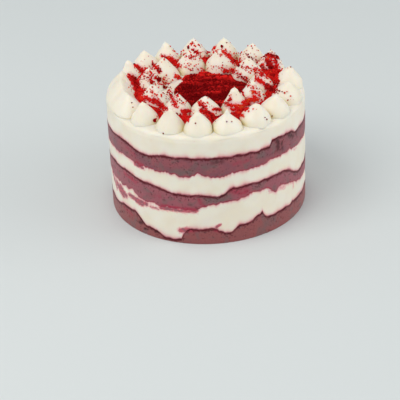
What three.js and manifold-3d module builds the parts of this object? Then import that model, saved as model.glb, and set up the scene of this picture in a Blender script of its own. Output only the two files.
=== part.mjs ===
// Red velvet mini cake: three layers of red sponge and three of cream, with two rings
// of piped cream kisses on top, a bed of red crumb in the middle and loose crumb around.
// Millimetres, +Z up. The origin is the centre of the base, and the front faces -Y.
// An angle round the cake is 0 at the front and grows towards +X.

import * as THREE from 'three';
import { mergeVertices } from 'three/addons/utils/BufferGeometryUtils.js';
import Module from 'manifold-3d';

const wasm = await Module();
wasm.setup();

// Driving dimensions of the cake
const cakeRadius = 50;
const topHeight = 57.5;
const rimInset = 2;
const rimDrop = 3.5;
const pieceGap = 0.3;

// Steps round the rim and round the ring half way in, where the layers lie nearly flat
const rimSteps = 90;
const coreSteps = 30;
const coreShare = 0.5;
const coreRelief = 0.3;

// Height of each join between two layers, with the dips and swells that show at the front.
// A swell runs from one angle to another, eases in and out over some degrees, and lifts
// the join by a height, or lowers it where the height is negative.
const joins = {
  bottomSponge: {
    level: 9.2,
    seed: 1,
    swells: [
      { from: -62, to: -47, ease: 8, lift: 1.8 },
      { from: -43, to: -16, ease: 5, lift: -4.0 },
      { from: -31, to: -17, ease: 5, lift: -3.8 },
      { from: 5, to: 14, ease: 6, lift: -3.4 },
      { from: 25, to: 32, ease: 5, lift: 3.0 },
    ],
  },
  lowerCream: {
    level: 22,
    seed: 2,
    swells: [
      { from: -62, to: -50, ease: 6, lift: 0.9 },
      { from: -45, to: -4, ease: 7, lift: -2.7 },
      { from: 4, to: 17, ease: 6, lift: 1.2 },
      { from: 19, to: 37, ease: 5, lift: 3.6 },
      { from: 55, to: 88, ease: 8, lift: -2.0 },
      { from: 63, to: 88, ease: 10, lift: -2.4 },
    ],
  },
  middleSponge: {
    level: 30,
    seed: 3,
    swells: [
      { from: -80, to: -44, ease: 18, lift: 2.0 },
      { from: -26, to: 10, ease: 10, lift: -2.3 },
      { from: -1, to: 8, ease: 5, lift: -1.0 },
      { from: 11, to: 55, ease: 5, lift: 0.8 },
      { from: 56, to: 90, ease: 20, lift: -6.3 },
    ],
  },
  upperCream: {
    level: 38.8,
    seed: 4,
    swells: [
      { from: -70, to: -46, ease: 12, lift: 1.0 },
      { from: -24, to: -8, ease: 6, lift: -0.9 },
      { from: -1, to: 10, ease: 6, lift: -1.7 },
      { from: 32, to: 60, ease: 8, lift: 1.2 },
    ],
  },
  topSponge: {
    level: 47.8,
    seed: 5,
    swells: [
      { from: -72, to: -50, ease: 8, lift: 0.7 },
      { from: -46, to: -30, ease: 8, lift: -1.8 },
      { from: 38, to: 46, ease: 2, lift: 1.2 },
      { from: 38, to: 58, ease: 2, lift: 2.0 },
    ],
  },
};

// The nozzle leaves kisses of a few outlines. One is as wide as its foot for longer where
// full is greater, and draws in to a sharper tip where sharp is greater.
const cone = { full: 1.45, sharp: 1 };
const bell = { full: 0.95, sharp: 0.77 };
const dome = { full: 1.9, sharp: 1.05 };
const peak = { full: 1.6, sharp: 1.6 };

// Piped kisses: how far from the cake's middle each one stands and in which direction, its
// height above the cream, the radius of its foot and its outline
const outerRing = [
  { angle: -46.3, distance: 41.2, height: 12.0, foot: 7.1, outline: cone },
  { angle: -25.4, distance: 40.8, height: 12.7, foot: 7.6, outline: bell },
  { angle: -6, distance: 41, height: 11.9, foot: 7.7, outline: cone },
  { angle: 13.2, distance: 41, height: 12.0, foot: 7.8, outline: peak },
  { angle: 34.6, distance: 41, height: 11.5, foot: 7.8, outline: dome },
  { angle: 52.8, distance: 41.3, height: 11.2, foot: 7.7, outline: dome },
  { angle: 73, distance: 41.6, height: 11.8, foot: 7.9, outline: dome },
  { angle: 95.5, distance: 41.8, height: 12.0, foot: 7.9, outline: dome },
  { angle: 124.5, distance: 41, height: 12.3, foot: 7.8, outline: cone },
  { angle: 142.5, distance: 40.8, height: 12.2, foot: 7.6, outline: dome },
  { angle: 164.8, distance: 41, height: 12.6, foot: 7.8, outline: dome },
  { angle: -173.3, distance: 41, height: 12.6, foot: 7.8, outline: dome },
  { angle: -152.7, distance: 41.2, height: 13.0, foot: 7.7, outline: cone },
  { angle: -134, distance: 41.2, height: 12.4, foot: 7.6, outline: dome },
  { angle: -115.5, distance: 41.6, height: 12.4, foot: 6.8, outline: bell },
];
const innerRing = [
  { angle: -31.5, distance: 26.5, height: 12.6, foot: 8.2, outline: cone },
  { angle: -0.7, distance: 26.5, height: 12.4, foot: 8.4, outline: dome },
  { angle: 33, distance: 25.6, height: 14.0, foot: 7.6, outline: bell },
  { angle: 62, distance: 26, height: 12.8, foot: 7.7, outline: cone },
  { angle: 91, distance: 27.5, height: 12.2, foot: 7.9, outline: cone },
  { angle: 124, distance: 26.8, height: 12.6, foot: 8.1, outline: dome },
  { angle: 162, distance: 27, height: 12.9, foot: 8.2, outline: dome },
  { angle: -165.5, distance: 27.5, height: 12.9, foot: 8.0, outline: dome },
  { angle: -134, distance: 28.3, height: 12.5, foot: 8.2, outline: cone },
  { angle: -106, distance: 29.2, height: 12.3, foot: 7.8, outline: cone },
  { angle: -68, distance: 28, height: 12.2, foot: 8.1, outline: cone },
];
const outerLean = 1.3;
const kissSides = 14;
const kissRows = [0.12, 0.34, 0.54, 0.7, 0.84];
const kissFootShare = 0.95;

// Between two kisses of the outer ring, three more run together into one mound. Its crest
// passes over their places, a little lower between them.
const moundDistance = 42;
const moundHalfWidth = 7.4;
const moundLobes = [
  { angle: -100, height: 11.8 },
  { angle: -81, height: 11.1 },
  { angle: -63.5, height: 10.6 },
];
const moundOutline = { full: 1.4, sharp: 1.1 };
const moundSaddle = 0.04;
const moundCrestSteps = 14;
const moundEndSteps = 5;

// Crumb: the bed in the middle, the heap that fills a gap in the outer ring, and the larger
// crumbs that lie on the kisses and on the ledge
const bedHeight = 1.2;
const bedSteps = 48;
const bedReach = 24;
const bedShortSide = { from: -152, to: -74, lift: -6.7, ease: 12 };
const bedLumps = 30;
const bedLumpRadius = { least: 0.7, most: 1.1 };
const lumpBulge = 1.15;
const heap = { from: 104, to: 116, near: 34, far: 45, lumps: 16 };
const heapLumpRadius = { least: 1.1, most: 1.8 };
const crumbRadius = { least: 0.7, most: 1.15 };
const crumbsOnInnerKiss = 5;
const crumbsOnBackKiss = 3;
const crumbSink = 0.3;
const ledgeCrumbs = 5;

// Colours of the pieces
const creamColour = 0xe9e3d0;
const spongeColour = 0x7d4a4c;
const crumbColour = 0x8c0c0b;

// A repeatable draw between 0 and 1
function makeDraw(seed) {
  let state = seed;
  return () => {
    state = (state * 16807) % 2147483647;
    return state / 2147483647;
  };
}

const draw = makeDraw(4711);
const between = (least, most) => least + (most - least) * draw();

function place(radius, angle, height) {
  const turn = THREE.MathUtils.degToRad(angle);
  return new THREE.Vector3(radius * Math.sin(turn), -radius * Math.cos(turn), height);
}

// A swell that eases in at one angle and out at another
function swellAt(angle, swell) {
  const half = swell.ease / 2;
  const rising = THREE.MathUtils.smoothstep(angle, swell.from - half, swell.from + half);
  const falling = THREE.MathUtils.smoothstep(angle, swell.to - half, swell.to + half);
  return swell.lift * rising * (1 - falling);
}

// Slow waves round the back, where no swell is named, and a fine unevenness all round
function wanderAt(angle, seed) {
  const turn = THREE.MathUtils.degToRad(angle);
  const back = THREE.MathUtils.smoothstep(Math.abs(angle), 70, 100);
  const slow = Math.sin(5 * turn + 1.7 * seed) + Math.sin(8 * turn + 2.9 * seed);
  const fine = Math.sin(23 * turn + 1.3 * seed) + Math.sin(37 * turn + 2.1 * seed);
  return back * slow + 0.18 * fine;
}

// Height of a join at an angle, with its relief dying away towards the middle of the cake
function joinHeight(join, angle, share) {
  const swells = join.swells.reduce((sum, swell) => sum + swellAt(angle, swell), 0);
  return join.level + share * (swells + wanderAt(angle, join.seed));
}

function ring(steps, pointAt) {
  return Array.from({ length: steps }, (unused, step) => {
    const angle = (360 * step) / steps;
    return pointAt(angle > 180 ? angle - 360 : angle);
  });
}

// Triangles between two rings, either of which may be a single point. The finer ring has
// a whole number of steps for each step of the coarser one.
function stitch(lower, upper, addTriangle) {
  const steps = Math.max(lower.length, upper.length);
  const coarse = Math.min(lower.length, upper.length);
  const stepsPerCoarse = steps / coarse;
  for (let step = 0; step < steps; step += 1) {
    const here = coarse === 1 ? 0 : Math.round(step / stepsPerCoarse - 1e-6) % coarse;
    const next = coarse === 1 ? 0 : Math.round((step + 1) / stepsPerCoarse - 1e-6) % coarse;
    const nextStep = (step + 1) % steps;
    if (lower.length >= upper.length) {
      addTriangle(lower[step], lower[nextStep], upper[next]);
      if (next !== here) {
        addTriangle(lower[step], upper[next], upper[here]);
      }
    } else {
      addTriangle(lower[next], upper[nextStep], upper[step]);
      if (next !== here) {
        addTriangle(lower[here], lower[next], upper[step]);
      }
    }
  }
}

// A closed skin over rings that run from the middle of the underside, out, up and back in
function skin(rings) {
  const positions = [];
  const addTriangle = (a, b, c) => {
    [a, b, c].forEach((point) => positions.push(point.x, point.y, point.z));
  };
  for (let index = 0; index + 1 < rings.length; index += 1) {
    stitch(rings[index], rings[index + 1], addTriangle);
  }
  const geometry = new THREE.BufferGeometry();
  geometry.setAttribute('position', new THREE.Float32BufferAttribute(positions, 3));
  return mergeVertices(geometry, 1e-4);
}

// The rings of one face of a layer, from its middle out to the rim
function faceRings(heightAt) {
  const middle = [new THREE.Vector3(0, 0, heightAt(0, 0))];
  const core = ring(coreSteps, (angle) => (
    place(cakeRadius * coreShare, angle, heightAt(angle, coreRelief))));
  const rim = ring(rimSteps, (angle) => place(cakeRadius, angle, heightAt(angle, 1)));
  return [middle, core, rim];
}

// A layer lies between the join below it and the join above it
function layer(below, above) {
  const undersideAt = (angle, share) => (
    below ? joinHeight(below, angle, share) + pieceGap / 2 : 0);
  const upsideAt = (angle, share) => joinHeight(above, angle, share) - pieceGap / 2;
  return skin([...faceRings(undersideAt), ...faceRings(upsideAt).reverse()]);
}

// The top cream ends in a rounded rim and a flat top
function topCream(below) {
  const undersideAt = (angle, share) => joinHeight(below, angle, share) + pieceGap / 2;
  const rimRings = [0, 30, 60, 90].map((turn) => {
    const swing = THREE.MathUtils.degToRad(turn);
    const radius = cakeRadius - rimInset * (1 - Math.cos(swing));
    const height = topHeight - rimDrop * (1 - Math.sin(swing));
    return ring(rimSteps, (angle) => place(radius, angle, height));
  });
  const core = ring(coreSteps, (angle) => place(cakeRadius * coreShare, angle, topHeight));
  return skin([...faceRings(undersideAt), ...rimRings, core, [place(0, 0, topHeight)]]);
}

// All the kisses of a ring, each with its foot, its size and how far its tip leans outwards
function kissesOf(name, layout, lean) {
  return layout.map((row, index) => ({
    name: `${name}_${String(index + 1).padStart(2, '0')}`,
    angle: row.angle,
    foot: place(row.distance, row.angle, topHeight + pieceGap),
    radius: row.foot,
    height: row.height - pieceGap,
    outline: row.outline,
    lean: place(lean, row.angle, 0),
    turn: between(0, 360),
  }));
}

// The share of its foot's radius that a kiss still has at a share of its height
function widthShare(outline, rise) {
  return (1 - rise ** outline.full) ** outline.sharp;
}

// The other way round: the share of its height where it has a share of its radius
function riseShare(outline, width) {
  return (1 - Math.min(width, 1) ** (1 / outline.sharp)) ** (1 / outline.full);
}

// Where two kisses touch, each one is pressed flat half way between them
function pressAgainst(point, kiss, others) {
  others.forEach((other) => {
    const towards = other.foot.clone().sub(kiss.foot);
    const distance = towards.length();
    towards.normalize();
    const reach = distance / 2 - pieceGap / 2;
    const beyond = point.clone().sub(kiss.foot).dot(towards) - reach;
    if (beyond > 0) {
      point.addScaledVector(towards, -beyond);
    }
  });
  return point;
}

function kissPoint(kiss, rise, angle) {
  const share = rise === 0 ? kissFootShare : widthShare(kiss.outline, rise);
  const point = place(kiss.radius * share, angle + kiss.turn, rise * kiss.height);
  return point.add(kiss.foot).addScaledVector(kiss.lean, rise ** 2);
}

function kissSkin(kiss, others) {
  const rows = [0, ...kissRows].map((rise) => (
    ring(kissSides, (angle) => pressAgainst(kissPoint(kiss, rise, angle), kiss, others))));
  const tip = kissPoint(kiss, 1, 0);
  return skin([[kiss.foot], ...rows, [tip]]);
}

// Height of the mound's crest at an angle, from one lobe to the next
function crestHeight(angle) {
  const spans = moundLobes.slice(1).map((lobe, index) => ({ from: moundLobes[index], to: lobe }));
  const span = spans.find(({ to }) => angle <= to.angle) ?? spans.at(-1);
  const share = (angle - span.from.angle) / (span.to.angle - span.from.angle);
  const along = THREE.MathUtils.clamp(share, 0, 1);
  const level = THREE.MathUtils.lerp(span.from.height, span.to.height, along);
  return (level - pieceGap) * (1 - moundSaddle * Math.sin(Math.PI * along) ** 2);
}

// One section across the mound, from its inner foot over the crest to its outer foot. Past
// the first and the last lobe the mound rounds off as a kiss does.
function moundSection(angle) {
  const past = Math.max(moundLobes[0].angle - angle, angle - moundLobes.at(-1).angle, 0);
  const offset = THREE.MathUtils.degToRad(past) * moundDistance;
  const halfWidth = Math.sqrt(moundHalfWidth ** 2 - offset ** 2);
  const flank = kissRows.map((rise) => widthShare(moundOutline, rise));
  const pointAt = (share) => {
    const across = share * halfWidth;
    const foot = Math.abs(share) === kissFootShare;
    const rise = riseShare(moundOutline, Math.hypot(offset, across) / moundHalfWidth);
    const height = foot ? 0 : rise * crestHeight(angle);
    return place(moundDistance + across, angle, topHeight + pieceGap + height);
  };
  const inner = [-kissFootShare, ...flank.map((share) => -share), 0].map(pointAt);
  const outer = [...flank].reverse().concat(kissFootShare).map(pointAt);
  return [...inner, ...outer];
}

// The mound is pressed by a kiss as the nearest of its lobes would be
function moundSkin(lobes, kisses) {
  const first = moundLobes[0].angle;
  const last = moundLobes.at(-1).angle;
  const endAngle = THREE.MathUtils.radToDeg(moundHalfWidth / moundDistance);
  const endShares = Array.from({ length: moundEndSteps }, (unused, step) => (
    Math.cos((Math.PI / 2) * ((step + 1) / (moundEndSteps + 1)))));
  const crestShares = Array.from({ length: moundCrestSteps + 1 }, (unused, step) => (
    step / moundCrestSteps));
  const angles = [
    ...endShares.map((share) => first - share * endAngle),
    ...crestShares.map((share) => THREE.MathUtils.lerp(first, last, share)),
    ...[...endShares].reverse().map((share) => last + share * endAngle),
  ];
  const press = (point) => {
    const apart = (lobe) => Math.hypot(point.x - lobe.foot.x, point.y - lobe.foot.y);
    const nearest = lobes.reduce((best, lobe) => (apart(lobe) < apart(best) ? lobe : best));
    return pressAgainst(point, nearest, kisses);
  };
  const endAt = (angle) => press(place(moundDistance, angle, topHeight + pieceGap));
  const sections = angles.map((angle) => moundSection(angle).map(press));
  return skin([[endAt(first - endAngle)], ...sections, [endAt(last + endAngle)]]);
}

// A geometry as a closed solid that can be joined to others
function toSolid(geometry) {
  const bare = geometry.clone();
  bare.deleteAttribute('normal');
  bare.deleteAttribute('uv');
  const merged = mergeVertices(bare, 1e-4);
  return new wasm.Manifold(new wasm.Mesh({
    numProp: 3,
    vertProperties: new Float32Array(merged.attributes.position.array),
    triVerts: new Uint32Array(merged.index.array),
  }));
}

function toGeometry(solid) {
  const mesh = solid.getMesh();
  const geometry = new THREE.BufferGeometry();
  geometry.setAttribute('position', new THREE.BufferAttribute(mesh.vertProperties, 3));
  geometry.setIndex(new THREE.BufferAttribute(mesh.triVerts, 1));
  return geometry;
}

// An uneven lump of crumb with twenty faces
function crumbLump(centre, radius) {
  const geometry = new THREE.IcosahedronGeometry(radius, 0);
  geometry.deleteAttribute('normal');
  geometry.deleteAttribute('uv');
  const lump = mergeVertices(geometry, 1e-4);
  const corners = lump.attributes.position;
  for (let index = 0; index < corners.count; index += 1) {
    const swell = between(0.75, lumpBulge);
    corners.setXYZ(index, corners.getX(index) * swell, corners.getY(index) * swell,
      corners.getZ(index) * swell);
  }
  lump.applyMatrix4(new THREE.Matrix4().makeRotationFromEuler(
    new THREE.Euler(between(0, 6.28), between(0, 6.28), between(0, 6.28))));
  lump.translate(centre.x, centre.y, centre.z);
  return lump;
}

// The lumps joined to the piece that they lie on
function fuse(geometry, lumps) {
  const joined = lumps.reduce((solid, lump) => solid.add(toSolid(lump)), toSolid(geometry));
  return toGeometry(joined);
}

// A spot on a kiss where a crumb of some size stays clear of the kisses beside it
function spotOnKiss(kiss, others, facing, spread, size) {
  for (let attempt = 0; attempt < 40; attempt += 1) {
    const rise = between(0.38, 0.84);
    const angle = facing + between(-spread, spread);
    const spot = kissPoint(kiss, rise, angle - kiss.turn);
    const outwards = place(1, angle, 0.6).normalize();
    spot.addScaledVector(outwards, -crumbSink * size);
    const pressed = others.some((other) => {
      const towards = other.foot.clone().sub(kiss.foot);
      const half = towards.length() / 2;
      towards.normalize();
      const reach = spot.clone().sub(kiss.foot).dot(towards);
      return reach > half - pieceGap - lumpBulge * size;
    });
    if (!pressed) {
      return spot;
    }
  }
  return null;
}

function crumbsOnKiss(kiss, others, count, facing, spread) {
  const lumps = [];
  for (let index = 0; index < count; index += 1) {
    const size = between(crumbRadius.least, crumbRadius.most);
    const spot = spotOnKiss(kiss, others, facing, spread, size);
    if (spot) {
      lumps.push(crumbLump(spot, size));
    }
  }
  return lumps;
}

// How far the bed of crumb runs in one direction. It mostly runs up to the kisses, but at the
// left it stops short of them.
function bedRadiusAt(angle, kisses) {
  const outwards = place(1, angle, 0);
  return kisses.reduce((reach, kiss) => {
    const along = kiss.foot.x * outwards.x + kiss.foot.y * outwards.y;
    const squareDistance = kiss.foot.x ** 2 + kiss.foot.y ** 2 - along ** 2;
    const clear = kiss.radius + pieceGap + 0.2;
    if (along < 0 || squareDistance > clear ** 2) {
      return reach;
    }
    return Math.min(reach, along - Math.sqrt(clear ** 2 - squareDistance));
  }, bedReach + swellAt(angle, bedShortSide));
}

// The bed of crumb is a low heap with an uneven top, and the lumps that show lie on it
function crumbBed(kisses) {
  const base = topHeight + pieceGap;
  const edgeAt = (angle) => bedRadiusAt(angle, kisses);
  const underside = ring(bedSteps, (angle) => place(edgeAt(angle), angle, base));
  const shares = [0.97, 0.78, 0.5, 0.25];
  const steps = [bedSteps, bedSteps, bedSteps / 2, bedSteps / 4];
  const rise = [0.45, 0.9, 1, 0.95];
  const rows = shares.map((share, index) => ring(steps[index], (angle) => (
    place(edgeAt(angle) * share, angle, base + bedHeight * rise[index] + between(-0.3, 0.3)))));
  const bed = skin([[place(0, 0, base)], underside, ...rows, [place(0, 0, base + bedHeight)]]);
  const lumps = Array.from({ length: bedLumps }, () => {
    const angle = between(-180, 180);
    const size = between(bedLumpRadius.least, bedLumpRadius.most);
    const radius = Math.sqrt(draw()) * (edgeAt(angle) - 2 * lumpBulge * size);
    return crumbLump(place(radius, angle, base + Math.max(bedHeight, lumpBulge * size)), size);
  });
  return fuse(bed, lumps);
}

const outerKisses = kissesOf('kiss_outer', outerRing, outerLean);
const innerKisses = kissesOf('kiss_inner', innerRing, 0);
const allKisses = [...outerKisses, ...innerKisses];
const lobes = moundLobes.map(({ angle }) => ({
  foot: place(moundDistance, angle, topHeight + pieceGap),
}));

// Crumb lies all over the inner kisses and on the inward side of the outer ones at the back
function kissWithCrumbs(kiss) {
  const others = [...allKisses.filter((other) => other !== kiss), ...lobes];
  const inner = innerKisses.includes(kiss);
  const back = Math.abs(kiss.angle) > 85;
  const count = inner ? crumbsOnInnerKiss : crumbsOnBackKiss * Number(back);
  const lumps = crumbsOnKiss(kiss, others, count, kiss.angle + 180, inner ? 180 : 80);
  const geometry = kissSkin(kiss, others);
  return lumps.length ? fuse(geometry, lumps) : geometry;
}

// Whether a lump stays clear of the foot of every kiss
function clearOfKisses(spot, size) {
  return allKisses.every((kiss) => {
    const apart = Math.hypot(spot.x - kiss.foot.x, spot.y - kiss.foot.y);
    return apart > kiss.radius + lumpBulge * size + pieceGap;
  });
}

// Lumps of crumb fill the widest gap in the outer ring
function heapedCrumbs() {
  const lumps = [];
  for (let attempt = 0; attempt < 400 && lumps.length < heap.lumps; attempt += 1) {
    const size = between(heapLumpRadius.least, heapLumpRadius.most);
    const spot = place(between(heap.near, heap.far), between(heap.from, heap.to), topHeight);
    if (clearOfKisses(spot, size)) {
      lumps.push(crumbLump(spot, size));
    }
  }
  return lumps;
}

// A few crumbs have dropped onto the ledge in front of the kisses
function ledgeLumps() {
  return Array.from({ length: ledgeCrumbs }, (unused, index) => {
    const size = crumbRadius.least * between(0.9, 1.1);
    const ledge = outerKisses[index + 1].angle - 10;
    return crumbLump(place(cakeRadius - 1.4, ledge, topHeight - 1), size);
  });
}

function topCreamWithCrumbs() {
  return fuse(topCream(joins.topSponge), [...heapedCrumbs(), ...ledgeLumps()]);
}

const cream = { color: creamColour, roughness: 0.45, metalness: 0 };
const sponge = { color: spongeColour, roughness: 0.85, metalness: 0 };
const crumb = { color: crumbColour, roughness: 0.9, metalness: 0 };

function piece(name, geometry, finish) {
  geometry.computeVertexNormals();
  const mesh = new THREE.Mesh(geometry, new THREE.MeshStandardMaterial(finish));
  mesh.name = name;
  return mesh;
}

const cake = new THREE.Group();
cake.add(
  piece('sponge_bottom', layer(null, joins.bottomSponge), sponge),
  piece('cream_lower', layer(joins.bottomSponge, joins.lowerCream), cream),
  piece('sponge_middle', layer(joins.lowerCream, joins.middleSponge), sponge),
  piece('cream_upper', layer(joins.middleSponge, joins.upperCream), cream),
  piece('sponge_top', layer(joins.upperCream, joins.topSponge), sponge),
  piece('cream_top', topCreamWithCrumbs(), cream),
  piece('crumb_bed', crumbBed(innerKisses), crumb),
  piece('kiss_mound', moundSkin(lobes, allKisses), cream),
  ...allKisses.map((kiss) => piece(kiss.name, kissWithCrumbs(kiss), cream)),
);

export default cake;
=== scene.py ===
# %% [markdown]
# # A red velvet mini cake
#
# The cake is three discs of red sponge with cream between them and on top. Two rings of
# piped cream kisses stand on it round a bed of red crumb, and more crumb is scattered over.
#
# The imported model is the frame for everything here. It gives the place and size of each layer and
# each kiss, and the pieces below are worked out from it. Only the marks on the side and the places
# where crumb fell are given here one by one. Lengths are in metres, as everywhere in Blender.

# %% Load the imported cake as a fixed frame
import math

import bmesh
import bpy
import numpy as np
from mathutils import Matrix, Vector
from mathutils.bvhtree import BVHTree


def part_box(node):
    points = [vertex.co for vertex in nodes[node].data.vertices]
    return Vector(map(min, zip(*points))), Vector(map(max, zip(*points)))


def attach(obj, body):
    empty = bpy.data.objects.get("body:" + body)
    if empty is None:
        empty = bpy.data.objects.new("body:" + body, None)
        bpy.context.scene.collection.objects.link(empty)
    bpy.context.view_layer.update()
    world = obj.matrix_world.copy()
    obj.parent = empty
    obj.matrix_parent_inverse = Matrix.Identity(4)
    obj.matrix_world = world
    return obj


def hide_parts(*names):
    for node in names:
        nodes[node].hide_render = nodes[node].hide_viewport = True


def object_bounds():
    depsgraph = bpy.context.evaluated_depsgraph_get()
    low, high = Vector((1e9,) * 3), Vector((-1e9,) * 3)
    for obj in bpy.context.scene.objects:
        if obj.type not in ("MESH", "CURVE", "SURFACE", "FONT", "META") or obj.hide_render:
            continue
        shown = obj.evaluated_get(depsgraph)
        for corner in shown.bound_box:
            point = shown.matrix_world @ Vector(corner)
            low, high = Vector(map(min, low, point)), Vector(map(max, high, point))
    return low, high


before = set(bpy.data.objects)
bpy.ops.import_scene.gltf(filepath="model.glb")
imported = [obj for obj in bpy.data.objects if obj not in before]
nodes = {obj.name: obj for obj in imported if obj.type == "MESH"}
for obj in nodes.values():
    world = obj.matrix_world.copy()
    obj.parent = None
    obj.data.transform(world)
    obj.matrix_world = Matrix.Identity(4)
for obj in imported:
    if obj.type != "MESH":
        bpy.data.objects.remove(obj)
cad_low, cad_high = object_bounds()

MM = 0.001
cake_radius = (cad_high.y - cad_low.y) / 2
top_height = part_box("cream_top")[1].z
print("cake", round(cake_radius * 2 / MM, 1), "mm across, top at", round(top_height / MM, 1), "mm")

# %% [markdown]
# ## The camera
#
# A long lens from a little above flattens the cake the way a food photograph does. The
# camera looks along +Y, a third of the way down from level, and is rolled by a little over
# two degrees, because the original was not held quite straight.

# %% Camera
view_elevation = math.radians(30.1)
view_roll = math.radians(-2.39)
view_distance = 0.7894
view_aim = Vector((-0.0049, 0.0, -0.0035))
view_lens = 136.2
sensor_width = 36


def add(name, data):
    """A new object of the scene, at the origin, unturned and unscaled."""
    made = bpy.data.objects.new(name, data)
    bpy.context.scene.collection.objects.link(made)
    return made


away = Vector((0, -math.cos(view_elevation), math.sin(view_elevation)))
level_right = Vector((1, 0, 0))
level_up = away.cross(level_right)
right = math.cos(view_roll) * level_right + math.sin(view_roll) * level_up
up = math.cos(view_roll) * level_up - math.sin(view_roll) * level_right
camera = add("camera", bpy.data.cameras.new("camera"))
camera.data.lens = view_lens
camera.data.sensor_width = sensor_width
camera.matrix_world = Matrix.Translation(view_aim + away * view_distance) @ Matrix(
    (right, up, away)).transposed().to_4x4()
bpy.context.scene.camera = camera
bpy.context.scene.view_settings.view_transform = "Standard"
print("camera at", [round(value, 3) for value in camera.matrix_world.translation])

# %% [markdown]
# ## Helpers for node trees
#
# Materials and Geometry Nodes are both trees of nodes. The first helpers add a node, fill or
# link its inputs, and let the numbers of a tree stand in formulas.
#
# A finish is a material whose colour is laid on in coats, each over the last. A coat covers
# by a share, which mostly comes from a grain of a given size, from a number stored on the
# piece's own points, or from a mask that eases from nothing to full.


# %% Nodes and formulas
def put(tree, kind, inputs=None, **settings):
    """Add a node, set it up, and fill or link its inputs."""
    made = tree.nodes.new(kind)
    for key, value in settings.items():
        setattr(made, key, value)
    for key, value in (inputs or {}).items():
        value = value.socket if isinstance(value, Number) else value
        if isinstance(value, bpy.types.NodeSocket):
            tree.links.new(value, made.inputs[key])
        else:
            made.inputs[key].default_value = value
    return made


def calc(operation, *values):
    """One step of arithmetic on numbers of a tree and plain numbers."""
    sockets = [value.socket if isinstance(value, Number) else value for value in values]
    tree = next(value.id_data for value in sockets if isinstance(value, bpy.types.NodeSocket))
    step = put(tree, "ShaderNodeMath", dict(enumerate(sockets)), operation=operation)
    return Number(step.outputs[0])


class Number:
    """A number of a node tree that can stand in a formula."""

    def __init__(self, socket):
        self.socket = socket

    def __add__(self, other):
        return calc("ADD", self, other)

    def __mul__(self, other):
        return calc("MULTIPLY", self, other)

    def __rsub__(self, other):
        return calc("SUBTRACT", other, self)


def mask(value, low, high):
    """Ease from 0 at low to 1 at high."""
    eased = put(value.socket.id_data, "ShaderNodeMapRange", {
        "Value": value, "From Min": low, "From Max": high}, interpolation_type="SMOOTHSTEP")
    return Number(eased.outputs["Result"])


# %% Finishes in coats
class Finish:
    """A material whose colour is laid on in coats."""

    def __init__(self, name, colour, **constants):
        self.material = bpy.data.materials.new(name)
        self.material.use_nodes = True
        self.tree = self.material.node_tree
        self.shader = self.tree.nodes["Principled BSDF"]
        self.colour = colour
        for key, value in constants.items():
            title = key.replace("_", " ").title().replace("Ior", "IOR")
            self.shader.inputs[title].default_value = value

    def where(self):
        """Places in the object's own space."""
        return put(self.tree, "ShaderNodeTexCoord").outputs["Object"]

    def grain(self, size, detail=2.0, roughness=0.5, seed=0.0):
        """Soft noise whose lumps are about the given size."""
        moved = put(self.tree, "ShaderNodeMapping", {
            "Vector": self.where(), "Location": (seed, seed, seed)})
        noise = put(self.tree, "ShaderNodeTexNoise", {
            "Vector": moved.outputs[0], "Scale": 1 / size, "Detail": detail,
            "Roughness": roughness})
        return Number(noise.outputs["Fac"])

    def stored(self, name):
        """A number that is stored on the piece's own points."""
        return Number(put(self.tree, "ShaderNodeAttribute", attribute_name=name).outputs["Fac"])

    def mix(self, share, first, second):
        """Two colours mixed, each a socket or three numbers."""
        full = [(*value, 1.0) if isinstance(value, tuple) else value for value in (first, second)]
        mixed = put(self.tree, "ShaderNodeMix", {0: share, 6: full[0], 7: full[1]}, data_type="RGBA")
        return mixed.outputs[2]

    def coat(self, share, colour):
        """Lay a colour over those before it."""
        self.colour = self.mix(share, self.colour, colour)

    def close(self, relief=None, depth=0.0):
        """Give the colour to the shader, and a bump of a given depth where there is a relief."""
        self.tree.links.new(self.colour, self.shader.inputs["Base Color"])
        if relief is not None:
            bump = put(self.tree, "ShaderNodeBump", {
                "Height": relief, "Distance": depth, "Strength": 1.0})
            self.tree.links.new(bump.outputs[0], self.shader.inputs["Normal"])
        print("finish", self.material.name, "with", len(self.tree.nodes), "nodes")


# %% [markdown]
# ## The finishes
#
# Cream scatters light under its surface, so it has no hard shadows, and its sheen is soft and broad.
# Where it touches sponge it takes up a pink stain and loose crumb, and where two kisses press
# together the crease gets a painted buttery yellow shade. The pieces below mark these places on
# their own points.
#
# The sponge is a dull mauve red with painted shade in its pores and gouges, a darker crust just
# under its upper edge, and a fine fuzz of crumb that turns pale where it is seen edge on. The crumb
# is a deep red that runs to bright red and, in the brightest crumbs, to orange.

# %% Cream
cream_light = (0.88, 0.82, 0.70)
cream_deep = (0.865, 0.79, 0.645)
cream_butter = (0.74, 0.62, 0.33)
stain_pink = (0.82, 0.37, 0.38)
stain_rose = (0.46, 0.105, 0.130)
smear_crimson = (0.54, 0.105, 0.140)
smear_mauve = (0.32, 0.105, 0.130)

cream = Finish(
    "cream", cream_light, roughness=0.42, subsurface_weight=0.4, subsurface_scale=0.003,
    subsurface_radius=(1.0, 0.75, 0.45), specular_ior_level=0.35)
cream.coat(mask(cream.grain(9 * MM), 0.35, 0.65), cream_deep)
# Painted shade: creases where kisses press together are tinted buttery yellow.
cream.coat(cream.stored("butter"), cream_butter)
stain = cream.stored("stain")
cream.coat(calc("MINIMUM", stain * 1.2, 1.0), stain_pink)
cream.coat(mask(stain, 0.55, 1.0) * 0.9, stain_rose)
ragged = cream.stored("smear") + cream.grain(0.8 * MM, 4.0)
cream.coat(mask(ragged, 0.62, 0.95) * 0.8, stain_pink)
smeared = cream.mix(mask(cream.grain(1.6 * MM), 0.4, 0.6), smear_crimson, smear_mauve)
cream.coat(mask(ragged, 0.9, 1.25), smeared)
cream.close(cream.grain(0.9 * MM, 3.0), 0.05 * MM)

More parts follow.
